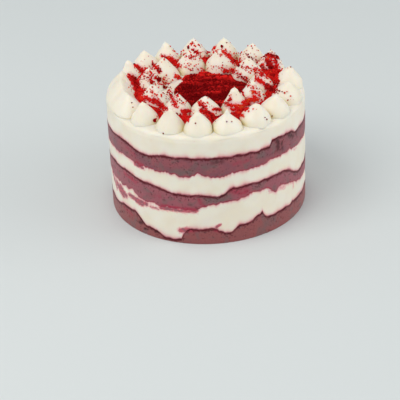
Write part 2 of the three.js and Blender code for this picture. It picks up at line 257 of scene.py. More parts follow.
# %% Sponge
sponge_mauve = (0.240, 0.083, 0.103)
sponge_rose = (0.315, 0.090, 0.105)
sponge_warm = (0.285, 0.085, 0.072)
sponge_blush = (0.360, 0.108, 0.133)
sponge_grey = (0.185, 0.112, 0.112)
sponge_dark = (0.060, 0.010, 0.014)
crust_maroon = (0.100, 0.007, 0.014)
juice_crimson = (0.400, 0.035, 0.070)

sponge = Finish(
    "sponge", sponge_mauve, roughness=0.8, subsurface_weight=0.1, subsurface_scale=0.001,
    specular_ior_level=0.15, sheen_weight=0.25, sheen_roughness=0.45,
    sheen_tint=(1.0, 0.93, 0.92, 1.0))
height = Number(put(sponge.tree, "ShaderNodeSeparateXYZ", {0: sponge.where()}).outputs["Z"])
sponge.coat(mask(sponge.grain(7 * MM), 0.38, 0.62), sponge_rose)
sponge.coat(calc("MAXIMUM", 0.75 - mask(height, 6 * MM, 20 * MM), 0.0), sponge_warm)
sponge.coat(sponge.stored("blush") * 0.75, sponge_blush)
sponge.coat(mask(sponge.grain(5 * MM, 1.0, seed=0.3), 0.52, 0.66) * 0.55, sponge_grey)
sponge.coat(sponge.stored("rosy"), juice_crimson)
sponge.coat(sponge.stored("greyed"), sponge_grey)
near_crust = 1.0 - mask(sponge.stored("under_top"), 1.0, 4.5)
specks = sponge.grain(0.9 * MM, 3.0) + near_crust * 0.08
sponge.coat(mask(specks, 0.62, 0.72) * 0.7, sponge_dark)
torn = sponge.stored("over_foot") + sponge.grain(0.9 * MM, 3.0) * 1.2
off_the_table = mask(height, 1.0 * MM, 2.0 * MM)
sponge.coat((1.0 - mask(torn, 0.8, 1.7)) * off_the_table * 0.8, juice_crimson)
crust_depth = sponge.stored("under_top") + sponge.grain(1.4 * MM, 3.0) * 2.0
patchy = mask(sponge.grain(3.5 * MM, seed=0.6), 0.35, 0.6) + 0.6
sponge.coat((1.0 - mask(crust_depth, 1.5, 2.5)) * calc("MINIMUM", patchy, 0.95), crust_maroon)
# Painted shade in the pores, over their real dents.
sponge.coat(sponge.stored("pore_depth_and_shade") * 0.7, sponge_dark)
# Painted shade in the gouges that the ring left.
sponge.coat(sponge.stored("gouge_shade"), sponge_dark)
sponge.close(sponge.grain(0.35 * MM, 4.0, 0.7), 0.12 * MM)

# %% Crumb
crumb_bright = (0.74, 0.016, 0.014)
crumb_deep = (0.19, 0.0015, 0.0025)
crumb_toasted = (0.75, 0.10, 0.020)

crumb = Finish(
    "crumb", crumb_deep, roughness=0.95, subsurface_weight=0.15, subsurface_scale=0.0006,
    subsurface_radius=(1.0, 0.2, 0.15), specular_ior_level=0.06)
tone = crumb.stored("tone") + crumb.grain(2.5 * MM, 2.0)
crumb.coat(mask(tone, 0.35, 1.45), crumb_bright)
crumb.coat(mask(tone, 1.7, 2.1), crumb_toasted)
crumb.close(crumb.grain(0.2 * MM, 2.0), 0.05 * MM)

# %% [markdown]
# ## Making round pieces
#
# Nearly every large piece here is a skin of rings: it starts at a point under its middle,
# runs out, up and back in, and ends at a point over its middle. A grid of points in NumPy is
# the quickest way to make one, and the faces then all point outwards.
#
# An angle round the cake is 0 at the front, on the -Y side, and grows towards +X.

# %% Helpers for round pieces
rim_steps = 1200
shortest_wave = 1.2
longest_wave = 3.0
turn = np.linspace(0, 2 * math.pi, rim_steps, endpoint=False)


def place(radius, angle, height):
    """Points at a radius, angle and height, stacked along the last axis."""
    radius, angle, height = np.broadcast_arrays(radius, angle, height)
    return np.stack([radius * np.sin(angle), -radius * np.cos(angle), height], axis=-1)


def angle_of(points):
    """Angle of points round the cake, in radians."""
    return np.arctan2(points[..., 0], -points[..., 1])


def angle_gap(angle, centre):
    """Degrees between angles in radians and a centre in degrees, the short way round."""
    return (np.degrees(angle) - centre + 180) % 360 - 180


def store(mesh, name, values):
    """Keep a number on each point, for the finishes to read."""
    if name in mesh.attributes:
        mesh.attributes.remove(mesh.attributes[name])
    mesh.attributes.new(name, "FLOAT", "POINT").data.foreach_set("value", values)


def skin(name, grid, first, last, **numbers):
    """A closed mesh over rows of points, with a pole at each end and numbers on its points."""
    rows, steps = grid.shape[:2]
    points = np.vstack([first, grid.reshape(-1, 3), last])
    here = 1 + np.arange(rows * steps).reshape(rows, steps)
    beside = np.roll(here, -1, axis=1)
    quads = np.stack([here[:-1], beside[:-1], beside[1:], here[1:]], axis=-1).reshape(-1, 4)
    first_fan = np.stack([np.zeros(steps, int), beside[0], here[0]], axis=-1)
    last_fan = np.stack([here[-1], beside[-1], np.full(steps, len(points) - 1)], axis=-1)
    corners = np.concatenate([quads.ravel(), first_fan.ravel(), last_fan.ravel()])
    sizes = np.concatenate([np.full(len(quads), 4), np.full(2 * steps, 3)])
    mesh = bpy.data.meshes.new(name)
    mesh.vertices.add(len(points))
    mesh.vertices.foreach_set("co", points.astype(np.float32).ravel())
    mesh.loops.add(len(corners))
    mesh.loops.foreach_set("vertex_index", corners.astype(np.int32))
    mesh.polygons.add(len(sizes))
    mesh.polygons.foreach_set("loop_start", (np.cumsum(sizes) - sizes).astype(np.int32))
    mesh.update(calc_edges=True)
    mesh.shade_smooth()
    for key, values in numbers.items():
        store(mesh, key, np.concatenate([[0.0], np.ravel(values), [0.0]]))
    return add(name, mesh)


def ripple(points, size, seed, waves=14):
    """Smooth unevenness between about -1 and 1, with lumps of about the given size."""
    draw = np.random.default_rng(seed)
    total = np.zeros(points.shape[:-1])
    for _ in range(waves):
        direction = draw.normal(size=3)
        length = size * draw.uniform(shortest_wave, longest_wave)
        direction *= 2 * math.pi / length / np.linalg.norm(direction)
        total += np.sin(points @ direction + draw.uniform(0, 2 * math.pi))
    return total / math.sqrt(waves)


def hand_over(piece, slot_name, *replaced):
    """The piece rides on the cake, and stands for the nodes that it replaces."""
    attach(piece, "root")
    if replaced:
        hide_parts(*replaced)
    print(piece.name, len(piece.data.polygons), "faces")
    return piece


# %% [markdown]
# ## Where the layers meet
#
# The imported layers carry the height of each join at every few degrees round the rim. Those
# heights are read from the frame, smoothed into a line, and given the finer raggedness that
# torn crumb has. A sponge's upper edge was cut and stays fairly clean. Its lower edge was
# pressed into the cream and is ragged. A few nicks stand at the places of the real cake.

# %% Read the joins from the frame
same_point = 0.001 * MM
rim_slack = 0.01 * MM
half_gap = 0.15 * MM
smooth_half = 7
rim_points = place(cake_radius, turn, 0.0)


def packed_points(node):
    """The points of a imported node, each one once."""
    points = np.array([vertex.co for vertex in nodes[node].data.vertices])
    return np.unique(np.round(points / same_point), axis=0) * same_point


def join_over(node):
    """The join over a layer at every fine step: its packed heights, with the corners eased."""
    points = packed_points(node)
    rim = points[np.hypot(points[:, 0], points[:, 1]) > cake_radius - rim_slack]
    angles = np.round(angle_of(rim) % (2 * math.pi), 4)
    known = np.unique(angles)
    heights = np.array([rim[angles == angle, 2].max() for angle in known])
    fine = np.interp(turn, np.append(known, 2 * math.pi), np.append(heights, heights[0]))
    window = np.hanning(2 * smooth_half + 1)
    padded = np.concatenate([fine[-smooth_half:], fine, fine[:smooth_half]])
    return np.convolve(padded, window / window.sum(), mode="valid") + half_gap


# %% Make them ragged
# Each nick has its middle and half its width in degrees, and how far it lifts the join in
# millimetres.
nicks = {
    "sponge_bottom": [
        (-48.5, 1.6, 0.8), (-24, 3.0, 0.7), (-17.2, 1.6, -2.4), (-7, 6.0, -0.9),
        (4.6, 0.9, -0.8), (30.8, 1.0, 2.3), (33.6, 1.4, -0.5), (56, 1.5, 1.0)],
    "cream_lower": [
        (-60, 1.8, -1.6), (-53, 1.6, -1.2), (-27, 1.1, -0.6), (-9, 1.2, -0.8),
        (22, 1.2, -0.9), (41.5, 1.2, -0.6), (46, 3.0, 1.3), (61, 1.3, -0.9)],
    "sponge_middle": [],
    "cream_upper": [
        (-46.5, 1.1, -0.8), (-42.5, 1.2, -1.0), (-11, 1.3, -0.7), (-6.5, 1.2, 0.8),
        (2, 1.0, -0.5), (56, 1.2, -0.8)],
    "sponge_top": [(36.6, 0.9, -0.7), (38.4, 1.0, 0.8), (50, 1.2, 0.7)],
}
nick_sharpness = 1.5
clean_edge = 0.24 * MM
torn_edge = 0.6 * MM
coarse_size = 2.4 * MM
fine_size = 0.7 * MM
tooth_size = 1.5 * MM
tooth_middle = 0.7
coarse_share = 0.5
fine_share = 0.35
tooth_share = 0.5
joins = {}
for seed, node in enumerate(nicks, 11):
    line = join_over(node)
    for middle, half_width, lift in nicks[node]:
        near = np.clip(1 - np.abs(angle_gap(turn, middle)) / (2 * half_width), 0, 1)
        line = line + lift * MM * near ** nick_sharpness
    coarse = ripple(rim_points, coarse_size, seed)
    fine = ripple(rim_points, fine_size, seed + 1)
    teeth = np.abs(ripple(rim_points, tooth_size, seed + 2)) - tooth_middle
    edge = clean_edge if node.startswith("sponge") else torn_edge
    ragged_line = coarse_share * coarse + fine_share * fine + tooth_share * teeth
    joins[node] = line + edge * ragged_line
    print("join over", node, "from", round(joins[node].min() / MM, 1), "to",
          round(joins[node].max() / MM, 1), "mm")

# %% [markdown]
# ## The layers
#
# A layer's side is a grid between two joins. Its hidden faces run in to the axis, where the
# joins lie level. Each point of the side stores how far it is under the layer's upper edge
# and over its foot, in millimetres, so the finishes can colour the crust and the stains by
# real distances.

# %% Build a layer
inner_shares = np.array([0.985, 0.94, 0.85, 0.6, 0.3])
crease_depth = 0.2 * MM
crease_width = 0.35 * MM
row_height = 0.3 * MM
side_depth = 0.35 * MM


def inner_rings(line):
    """Rings of a hidden face, from near the rim inwards."""
    level = line.mean()
    return np.stack([place(cake_radius * share, turn, level + (line - level) * share ** 3)
                     for share in inner_shares])


def side_rows(below, above, crease_above=True):
    """Rows of the side, with a fine crease along each join."""
    count = int(np.max(above - below) / row_height) + 2
    height = below + (above - below) * np.linspace(0, 1, count)[:, None]
    to_edge = np.minimum(height - below, above - height) if crease_above else height - below
    radius = cake_radius - crease_depth * np.exp(-to_edge / crease_width)
    return place(radius, turn, height), (above - height) / MM, (height - below) / MM


def layer(name, below, above):
    """A layer between two joins, with its distances from both edges stored."""
    side, under_top, over_foot = side_rows(below, above)
    grid = np.concatenate([inner_rings(below)[::-1], side, inner_rings(above)])
    hidden = ((len(inner_shares), len(inner_shares)), (0, 0))
    return skin(
        name, grid, (0, 0, below.mean()), (0, 0, above.mean()),
        under_top=np.pad(under_top, hidden), over_foot=np.pad(over_foot, hidden))


# %% [markdown]
# ## Pores in the sponge
#
# A sponge's side is full of holes of all sizes and a fine relief of crumb. These repeat thousands of
# times, so Geometry Nodes make them. A Voronoi pattern picks some of its cells as pores and pushes
# the surface in there, and a noise roughens the whole side. The tree stores how deep each point lies
# in a pore, and the finish paints shade into the pore by that number, over its real dent.


# %% Start and end of a Geometry Nodes tree
def new_tree(name, inputs):
    """An empty Geometry Nodes tree with a geometry passing through, and named inputs."""
    tree = bpy.data.node_groups.new(name, "GeometryNodeTree")
    tree.interface.new_socket(name="Geometry", in_out="INPUT", socket_type="NodeSocketGeometry")
    tree.interface.new_socket(name="Geometry", in_out="OUTPUT", socket_type="NodeSocketGeometry")
    for key, kind in inputs.items():
        tree.interface.new_socket(name=key, in_out="INPUT", socket_type="NodeSocket" + kind)
    return tree, put(tree, "NodeGroupInput").outputs


def close_tree(tree, geometry, material):
    """End a tree: realize what it made and give it its material."""
    real = put(tree, "GeometryNodeRealizeInstances", {"Geometry": geometry})
    finished = put(tree, "GeometryNodeSetMaterial", {
        "Geometry": real.outputs[0], "Material": material})
    put(tree, "NodeGroupOutput", {"Geometry": finished.outputs[0]})
    print("tree", tree.name, "with", len(tree.nodes), "nodes")


def vector_step(tree, operation, inputs):
    """One step of arithmetic on vectors."""
    return put(tree, "ShaderNodeVectorMath", inputs, operation=operation).outputs[0]


# %% Tree for the pores
warp_size = 2.5 * MM
warp_depth = 0.6 * MM
pore_edge = 0.05
pore_reach_least = 0.3
pore_reach_spread = 0.4
pores, given = new_tree("sponge_pores", {
    "Rim Radius": "Float", "Pore Size": "Float", "Pore Depth": "Float", "Pore Share": "Float",
    "Crumb Size": "Float", "Crumb Depth": "Float", "Material": "Material"})
position = put(pores, "GeometryNodeInputPosition").outputs[0]
flat = vector_step(pores, "MULTIPLY", {0: position, 1: (1.0, 1.0, 0.0)})
outward = vector_step(pores, "NORMALIZE", {0: flat})
radius = put(pores, "ShaderNodeVectorMath", {0: flat}, operation="LENGTH").outputs["Value"]
on_side = calc("GREATER_THAN", radius, given["Rim Radius"])
warp = put(pores, "ShaderNodeTexNoise", {"Vector": position, "Scale": 1 / warp_size, "Detail": 2.0})
bent = vector_step(pores, "MULTIPLY_ADD", {
    0: warp.outputs["Color"], 1: (warp_depth, warp_depth, warp_depth), 2: position})
cells = put(pores, "ShaderNodeTexVoronoi", {
    "Vector": bent, "Scale": calc("DIVIDE", 1.0, given["Pore Size"])})
chosen = put(pores, "ShaderNodeSeparateXYZ", {0: cells.outputs["Color"]}).outputs
is_pore = calc("LESS_THAN", chosen[0], given["Pore Share"])
reach = calc("MULTIPLY_ADD", chosen[1], pore_reach_spread, pore_reach_least)
pore_depth_and_shade = mask(Number(cells.outputs["Distance"]), reach, pore_edge) * is_pore * on_side
crumbs = put(pores, "ShaderNodeTexNoise", {
    "Vector": position, "Scale": calc("DIVIDE", 1.0, given["Crumb Size"]),
    "Detail": 3.0, "Roughness": 0.65})
lift = Number(crumbs.outputs["Fac"]) * given["Crumb Depth"] * on_side
depth = pore_depth_and_shade * given["Pore Depth"] + lift
push = vector_step(pores, "SCALE", {0: outward, "Scale": depth * -1.0})
moved = put(pores, "GeometryNodeSetPosition", {"Geometry": given["Geometry"], "Offset": push})
# The depth share is stored too, for the painted shade in the pores.
marked = put(pores, "GeometryNodeStoreNamedAttribute", {
    "Geometry": moved.outputs[0], "Name": "pore_depth_and_shade", "Value": pore_depth_and_shade}, data_type="FLOAT")
close_tree(pores, marked.outputs[0], given["Material"])


# %% Apply a tree to a piece
def keep_result(piece):
    """Keep what a piece's modifiers make, as a plain mesh."""
    evaluated = piece.evaluated_get(bpy.context.evaluated_depsgraph_get())
    made = bpy.data.meshes.new_from_object(evaluated)
    piece.modifiers.clear()
    before = piece.data
    piece.data = made
    bpy.data.meshes.remove(before)
    made.name = piece.name


def apply_tree(piece, tree, **values):
    """Run a tree on a piece with the given inputs, and keep the mesh that it makes."""
    modifier = piece.modifiers.new(tree.name, "NODES")
    modifier.node_group = tree
    named = {item.name: item.identifier for item in tree.interface.items_tree
             if item.item_type == "SOCKET" and item.in_out == "INPUT"}
    for key, value in values.items():
        modifier[named[key.replace("_", " ").title()]] = value
    keep_result(piece)


# %% [markdown]
# ## The three sponges
#
# The lowest sponge stands on the table. The other two lie between joins. All three go
# through the same pore tree, which leaves their hidden faces alone.
#
# A sponge isn't of one colour all round. It is redder where juice has soaked in, greyer where the
# crumb is dry, and carries painted shade in the gouges that the ring left. Those places are short
# strokes, from one angle and height to another, and each point of the side stores how strongly the
# nearest stroke reaches it. The middle sponge is a little paler all over.


# %% Strokes on a side
def read_points(mesh):
    """The points of a mesh as rows of three numbers."""
    points = np.empty(len(mesh.vertices) * 3)
    mesh.vertices.foreach_get("co", points)
    return points.reshape(-1, 3)


def write_points(mesh, points):
    """Put the points back where they now are."""
    mesh.vertices.foreach_set("co", points.astype(np.float32).ravel())
    mesh.update()


def strokes_at(points, strokes):
    """How strongly some strokes reach each point of a side."""
    angle = angle_of(points)
    total = np.zeros(len(points))
    for (from_angle, from_height), (to_angle, to_height), thick, strength in strokes:
        across = np.radians(angle_gap(angle, from_angle)) * cake_radius / MM
        rise = points[:, 2] / MM - from_height
        run = math.radians(to_angle - from_angle) * cake_radius / MM
        climb = to_height - from_height
        share = np.clip((across * run + rise * climb) / (run ** 2 + climb ** 2), 0, 1)
        apart = np.hypot(across - share * run, rise - share * climb)
        total = np.maximum(total, strength * np.exp(-(apart / thick) ** 2))
    return total


# %% Marks on the sponges
# Each stroke runs from an angle and height to another, in degrees and millimetres, and has
# its thickness in millimetres and its strength.
marks = {
    "rosy": {
        "most": 0.8,
        "sponge_bottom": [
            ((-16, 7.4), (-8, 8.6), 1.3, 0.9), ((2, 8), (5, 7.2), 1.0, 0.8),
            ((-60, 9.5), (-52, 7.5), 1.4, 0.5), ((40, 12), (48, 13), 1.4, 0.4)],
        "sponge_middle": [
            ((11, 29.6), (20, 27.6), 2.4, 0.8), ((-6, 25.4), (-4, 22.2), 1.1, 0.8),
            ((-56, 29.6), (-46, 28.4), 1.3, 0.7), ((-28, 19.6), (-8, 19.8), 1.1, 0.9),
            ((-12, 28), (-2, 27.4), 0.8, 0.5), ((-36, 24.5), (-30, 24.5), 1.6, 0.4)],
        "sponge_top": [
            ((-44, 39.6), (-40, 39.2), 1.4, 0.9), ((60, 49), (66, 48.4), 1.0, 0.6),
            ((-52, 46), (-46, 44), 1.4, 0.4), ((14, 43.5), (22, 44), 1.2, 0.35)]},
    "greyed": {
        "most": 0.9,
        "sponge_bottom": [((30, 4), (38, 5), 2.0, 0.5)],
        "sponge_middle": [
            ((-2, 25), (10, 26), 2.6, 0.9), ((2, 21.5), (6, 22.5), 1.6, 0.8),
            ((-40, 26), (-36, 25.6), 1.4, 0.6)],
        "sponge_top": [
            ((-20, 39.8), (-8, 40.4), 1.5, 0.85), ((-38, 44.4), (-35, 43.6), 1.2, 0.7),
            ((-3, 43.8), (4, 43.4), 1.4, 0.7), ((28, 45), (32, 44.6), 1.6, 0.6)]},
    # Painted shade where the ring left gouges in the side.
    "gouge_shade": {
        "most": 0.85,
        "sponge_bottom": [
            ((-45, 5.6), (-43, 6.6), 1.1, 0.95), ((-34, 3.6), (-30, 4.2), 0.7, 0.8),
            ((-41.5, 3), (-40, 3.4), 0.7, 0.7), ((-66, 3.4), (-60, 6), 0.6, 0.6)],
        "sponge_middle": [
            ((7, 27.6), (9.5, 29.6), 1.2, 0.7), ((-8, 21), (-6.6, 19.6), 0.6, 0.7)],
        "sponge_top": [
            ((42.5, 48.8), (43, 44.4), 1.4, 0.9), ((46, 47), (46.4, 43), 0.9, 0.8),
            ((53, 48.2), (57, 46.2), 1.2, 0.8), ((61, 48.6), (61.4, 44.6), 0.6, 0.7),
            ((2, 45.4), (8, 45.8), 0.9, 0.55)]},
}
mark_unevenness = 0.35
mark_lumps = 1.5 * MM

# %% Sponges
for node, below, above, blush in (
        ("sponge_bottom", np.zeros(rim_steps), joins["sponge_bottom"], 0.25),
        ("sponge_middle", joins["cream_lower"], joins["sponge_middle"], 1.0),
        ("sponge_top", joins["cream_upper"], joins["sponge_top"], 0.0)):
    piece = layer("baked_" + node, below, above)
    apply_tree(
        piece, pores, rim_radius=cake_radius - side_depth, pore_size=1.3 * MM,
        pore_depth=0.5 * MM, pore_share=0.16, crumb_size=0.7 * MM, crumb_depth=0.25 * MM,
        material=sponge.material)
    points = read_points(piece.data)
    rough = 1 + mark_unevenness * ripple(points, mark_lumps, 21)
    store(piece.data, "blush", np.full(len(points), blush))
    for name, strokes in marks.items():
        strength = np.clip(strokes_at(points, strokes[node]) * rough, 0, strokes["most"])
        store(piece.data, name, strength)
    hand_over(piece, "sponge", node)

# %% [markdown]
# ## The cream between them
#
# The cream was pressed flush with the sponge, so its side is smooth with slow waves. It is
# stained pink within about a millimetre of each sponge. Where a sponge was dragged along,
# crumb is smeared into the cream, in strokes at the places that the real cake shows.

# %% Stains and smears
stains = {
    "over_foot": {"reach": 1.35, "strength": 1.0},
    "under_top": {"reach": 0.9, "strength": 0.75},
}
stain_lumps = 4.0 * MM
stain_stretch = np.array([1, 1, 0.2])
stain_unevenness = 0.3
stain_sharpness = 1.6
smears = {
    "cream_lower": [
        ((-68, 19.5), (-60, 15.8), 2.3, 0.9), ((-63, 19.4), (-57, 16.8), 2.1, 0.9),
        ((-53, 18.4), (-39, 18.0), 1.6, 0.85), ((-47, 17.2), (-42, 16.6), 1.4, 0.85),
        ((-36, 17.4), (-31, 17.2), 1.2, 0.6), ((-29, 18.4), (-8, 19.0), 1.4, 0.85),
        ((-73, 19.5), (-69, 16), 1.6, 0.8), ((-76, 22), (-72, 20), 1.4, 0.7),
        ((-17.5, 7.2), (-13, 8.2), 1.6, 1.0), ((3, 9.6), (5, 10.8), 1.0, 0.9),
        ((36, 23.2), (48, 21.6), 1.6, 0.42), ((57, 21), (57, 17.5), 1.0, 0.38),
        ((62, 10.4), (70, 10.6), 1.0, 0.38)],
    "cream_upper": [((-46, 38.6), (-40, 38.0), 1.2, 0.9), ((58, 38.0), (62, 37.6), 0.9, 0.35)],
    "cream_top": [],
}


def finish_cream(piece, node, depth, size, seed):
    """Mark a cream piece's stains and smears, push its side in in slow waves, hand it over."""
    mesh = piece.data
    points = read_points(mesh)
    uneven = 1 + stain_unevenness * ripple(points * stain_stretch, stain_lumps, 31)
    stain = np.zeros(len(points))
    for edge, soak in stains.items():
        distance = np.empty(len(points))
        mesh.attributes[edge].data.foreach_get("value", distance)
        reach = soak["reach"] * np.clip(uneven, 0.5, None)
        fading = np.exp(-(distance / reach) ** stain_sharpness)
        stain = np.maximum(stain, soak["strength"] * fading)
    store(mesh, "stain", stain)
    store(mesh, "smear", strokes_at(points, smears[node]))
    on_side = np.hypot(points[:, 0], points[:, 1]) > cake_radius - side_depth
    inward = depth * (0.5 + 0.5 * np.clip(ripple(points, size, seed), -1, 1))
    points[:, :2] *= np.where(on_side, 1 - inward / cake_radius, 1)[:, None]
    write_points(mesh, points)
    mesh.materials.append(cream.material)
    return hand_over(piece, "cream", node)


# %% The two cream fillings
cream_swell = 0.3 * MM
for node, below, above in (
        ("cream_lower", joins["sponge_bottom"], joins["cream_lower"]),
        ("cream_upper", joins["sponge_middle"], joins["cream_upper"])):
    finish_cream(layer("spread_" + node, below, above), node, cream_swell, 5 * MM, 41)

# %% [markdown]
# ## The cream on top
#
# The top layer rises to a rounded rim and a flat top. The rim is a quarter of an ellipse,
# deeper than it is wide. At the left, beside the mound that is piped there, the cream was
# filled up flush with the side, so the rim is nearly square.

# %% Top cream
rim_inset = 2.2 * MM
rim_drop = 3.6 * MM
rim_rows = 14
squared_share = 0.7
squared_ease = 7.0
flat_rings = np.array([46.5, 44, 40, 30, 20, 10]) * MM
top_unevenness = 0.15 * MM
top_lumps = 6 * MM
beyond_stain = 9.0
mound_points = packed_points("kiss_mound")
mound_angle = np.degrees(angle_of(mound_points))
mound_middle = (mound_angle.min() + mound_angle.max()) / 2
mound_half_turn = (mound_angle.max() - mound_angle.min()) / 2


def ease(share):
    """Ease from 0 to 1."""
    share = np.clip(share, 0, 1)
    return share * share * (3 - 2 * share)


def rim_rounding(angle):
    """How much of its rounding the rim keeps: all of it, but for the stretch by the mound."""
    inside = mound_half_turn - np.abs(angle_gap(angle, mound_middle))
    return 1 - squared_share * ease(inside / squared_ease + 0.5)


def top_surface(points):
    """Height of the top cream over places on the plan."""
    rounding = rim_rounding(angle_of(points))
    reach = np.hypot(points[..., 0], points[..., 1])
    over = np.clip((reach - cake_radius) / (rim_inset * rounding) + 1, 0, 1)
    return top_height - rim_drop * rounding * (1 - np.sqrt(1 - over ** 2))


foot_line = joins["sponge_top"]
rounding = rim_rounding(turn)
shoulder = top_height - rim_drop * rounding
side = side_rows(foot_line, shoulder, crease_above=False)[0]
swing = np.linspace(0, math.pi / 2, rim_rows)[1:, None]
rim = place(cake_radius - rim_inset * rounding * (1 - np.cos(swing)), turn,
            top_height - rim_drop * rounding * (1 - np.sin(swing)))
flat_top = place(flat_rings[:, None], turn, top_height)
grid = np.concatenate([inner_rings(foot_line)[::-1], side, rim, flat_top])
uneven = top_unevenness * ripple(grid, top_lumps, 43)
grid[..., 2] += uneven * ease((grid[..., 2] - foot_line) / top_lumps)
over_foot = np.clip((grid[..., 2] - foot_line) / MM, 0, None)
top_piece = finish_cream(skin(
    "spread_cream_top", grid, (0, 0, foot_line.mean()), (0, 0, top_height),
    under_top=np.full(grid.shape[:2], beyond_stain), over_foot=over_foot),
    "cream_top", cream_swell, 6 * MM, 44)

# %% [markdown]
# ## The piped kisses
#
# A kiss is piped straight down through a plain round nozzle and pulled away. It is widest
# just over its foot, draws in as a cone, a bell or a dome, and ends in a small peak. Kisses
# that touch press each other flat half way between them.
#
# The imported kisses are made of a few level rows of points. The width of each row is read
# there, and the two numbers of a simple outline are tried until it passes nearest to those
# widths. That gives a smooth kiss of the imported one's form, so no two are alike.

# %% Read the kisses from the frame
packed_foot_share = 0.95
row_points_least = 10
row_strays = 2
foot_slack = 0.05 * MM
full_tries = np.arange(0.8, 2.6, 0.05)
sharp_tries = np.arange(0.6, 1.8, 0.05)


def outline(rise, full, sharp):
    """Share of its width that a kiss has at a share of its height."""
    return np.clip(1 - np.clip(rise, 0, 1) ** full, 0, 1) ** sharp


def fit_outline(rises, shares):
    """The outline that passes nearest to the measured shares."""
    tries = [(full, sharp) for full in full_tries for sharp in sharp_tries]
    misses = [np.sum((outline(rises, *pair) - shares) ** 2) for pair in tries]
    return tries[int(np.argmin(misses))]


def read_kiss(node):
    """Foot, tip, width and outline of a packed kiss."""
    points = packed_points(node)
    lowest = points[points[:, 2] < points[:, 2].min() + foot_slack]
    foot = lowest[np.argmin(np.linalg.norm(lowest - lowest.mean(axis=0), axis=1))]
    tip = points[np.argmax(points[:, 2])]
    levels, counts = np.unique(points[:, 2], return_counts=True)
    levels = levels[counts >= row_points_least]
    rises = (levels - foot[2]) / (tip[2] - foot[2])
    widths = []
    for level, rise in zip(levels, rises):
        centre = foot[:2] + (tip - foot)[:2] * rise ** 2
        row = points[points[:, 2] == level, :2]
        widths.append(np.sort(np.linalg.norm(row - centre, axis=1))[-1 - row_strays])
    radius = widths[0] / packed_foot_share
    full, sharp = fit_outline(rises[1:], np.array(widths[1:]) / radius)
    return {"node": node, "foot": foot, "tip": tip, "radius": radius, "full": full, "sharp": sharp}


kisses = [read_kiss(node) for node in sorted(nodes)
          if node.startswith(("kiss_inner", "kiss_outer"))]
for kiss in kisses:
    print(kiss["node"], "radius", round(kiss["radius"] / MM, 2), "mm, outline",
          round(kiss["full"], 2), round(kiss["sharp"], 2))

# %% [markdown]
# ## The mound where three kisses ran together
#
# At the left the cook piped three kisses into one another, and they stand as one soft
# mound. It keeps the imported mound's form: a copy is rebuilt in even small faces, smoothed,
# and let down onto the cream. Its highest places are its lobes. They are read first, because
# the kisses beside the mound are pressed against them, and shallow grooves run between them.

# %% Where the mound is highest
crest_window = 6
crest_half_step = 2
mound_base = mound_points[:, 2].min()
mound_reach = np.hypot(mound_points[:, 0], mound_points[:, 1])
mound_distance = (mound_reach.min() + mound_reach.max()) / 2
crest_angle = np.arange(math.ceil(mound_angle.min()), math.floor(mound_angle.max()))
crest = np.array([
    mound_points[np.abs(mound_angle - angle) < crest_half_step, 2].max()
    for angle in crest_angle])
lobes = []
for index, angle in enumerate(crest_angle):
    near = crest[max(index - crest_window, 0):index + crest_window + 1]
    if crest[index] == near.max() and (not lobes or angle - lobes[-1] > crest_window):
        lobes.append(angle)
lobe_feet = [place(mound_distance, math.radians(angle), mound_base) for angle in lobes]
print("mound is highest at", lobes, "degrees,", round(mound_distance / MM, 1), "mm from the axis")

# %% Shape a kiss
kiss_rows = 44
kiss_sides = 72
row_crowding = 0.85
peak_radius = 0.6 * MM
peak_start = 0.86
peak_share = 0.045
peak_taper = 0.6
peak_onset = 8
curl_mm = (0.1, 0.6)
curl_at_tip = 0.15
oval_share = 0.02
bump_size = 3.5 * MM
bump_depth = 0.2 * MM
foot_flare = 0.35 * MM
foot_flare_rise = 0.03
kiss_sink = 0.3 * MM
kiss_clear = 1.1 * MM


def kiss_profile(rise, kiss):
    """Radius of a kiss at shares of its height, from its foot to its peak."""
    body = kiss["radius"] * outline(rise / (1 - peak_share), kiss["full"], kiss["sharp"])
    flare = foot_flare * np.exp(-rise / foot_flare_rise)
    drawn_in = np.clip((1 - rise) / (1 - peak_start), 0, 1) ** peak_taper
    peak = peak_radius * drawn_in * np.clip(rise / peak_start, 0, 1) ** peak_onset
    return body + flare + peak


# %% Press a kiss against its neighbours
press_reach = 2.3
press_softness = 0.3 * MM
# Reach, height and strength of the painted yellow shade in the creases between pressed kisses.
butter_width = 1.5 * MM
butter_rise = 0.5
butter_strength = 1.3


def press(points, kiss):
    """Press a kiss's points against the planes half way to its neighbours, and say how close."""
    closeness = np.zeros(points.shape[:-1])
    for foot in [other["foot"] for other in kisses if other is not kiss] + lobe_feet:
        apart = (foot - kiss["foot"])[:2]
        distance = np.linalg.norm(apart)
        if distance > press_reach * kiss["radius"]:
            continue
        towards = apart / distance
        past = (points[..., :2] - kiss["foot"][:2]) @ towards - distance / 2
        closeness = np.maximum(closeness, np.exp(np.minimum(past, 0) / butter_width))
        excess = press_softness * np.logaddexp(0, past / press_softness)
        points[..., :2] -= excess[..., None] * towards
    return closeness


def let_down(points, share, high):
    """Set heights by shares, so that the foot follows the cream and the top stays."""
    under = top_surface(points) - kiss_sink
    points[..., 2] = under + share * (high - under)


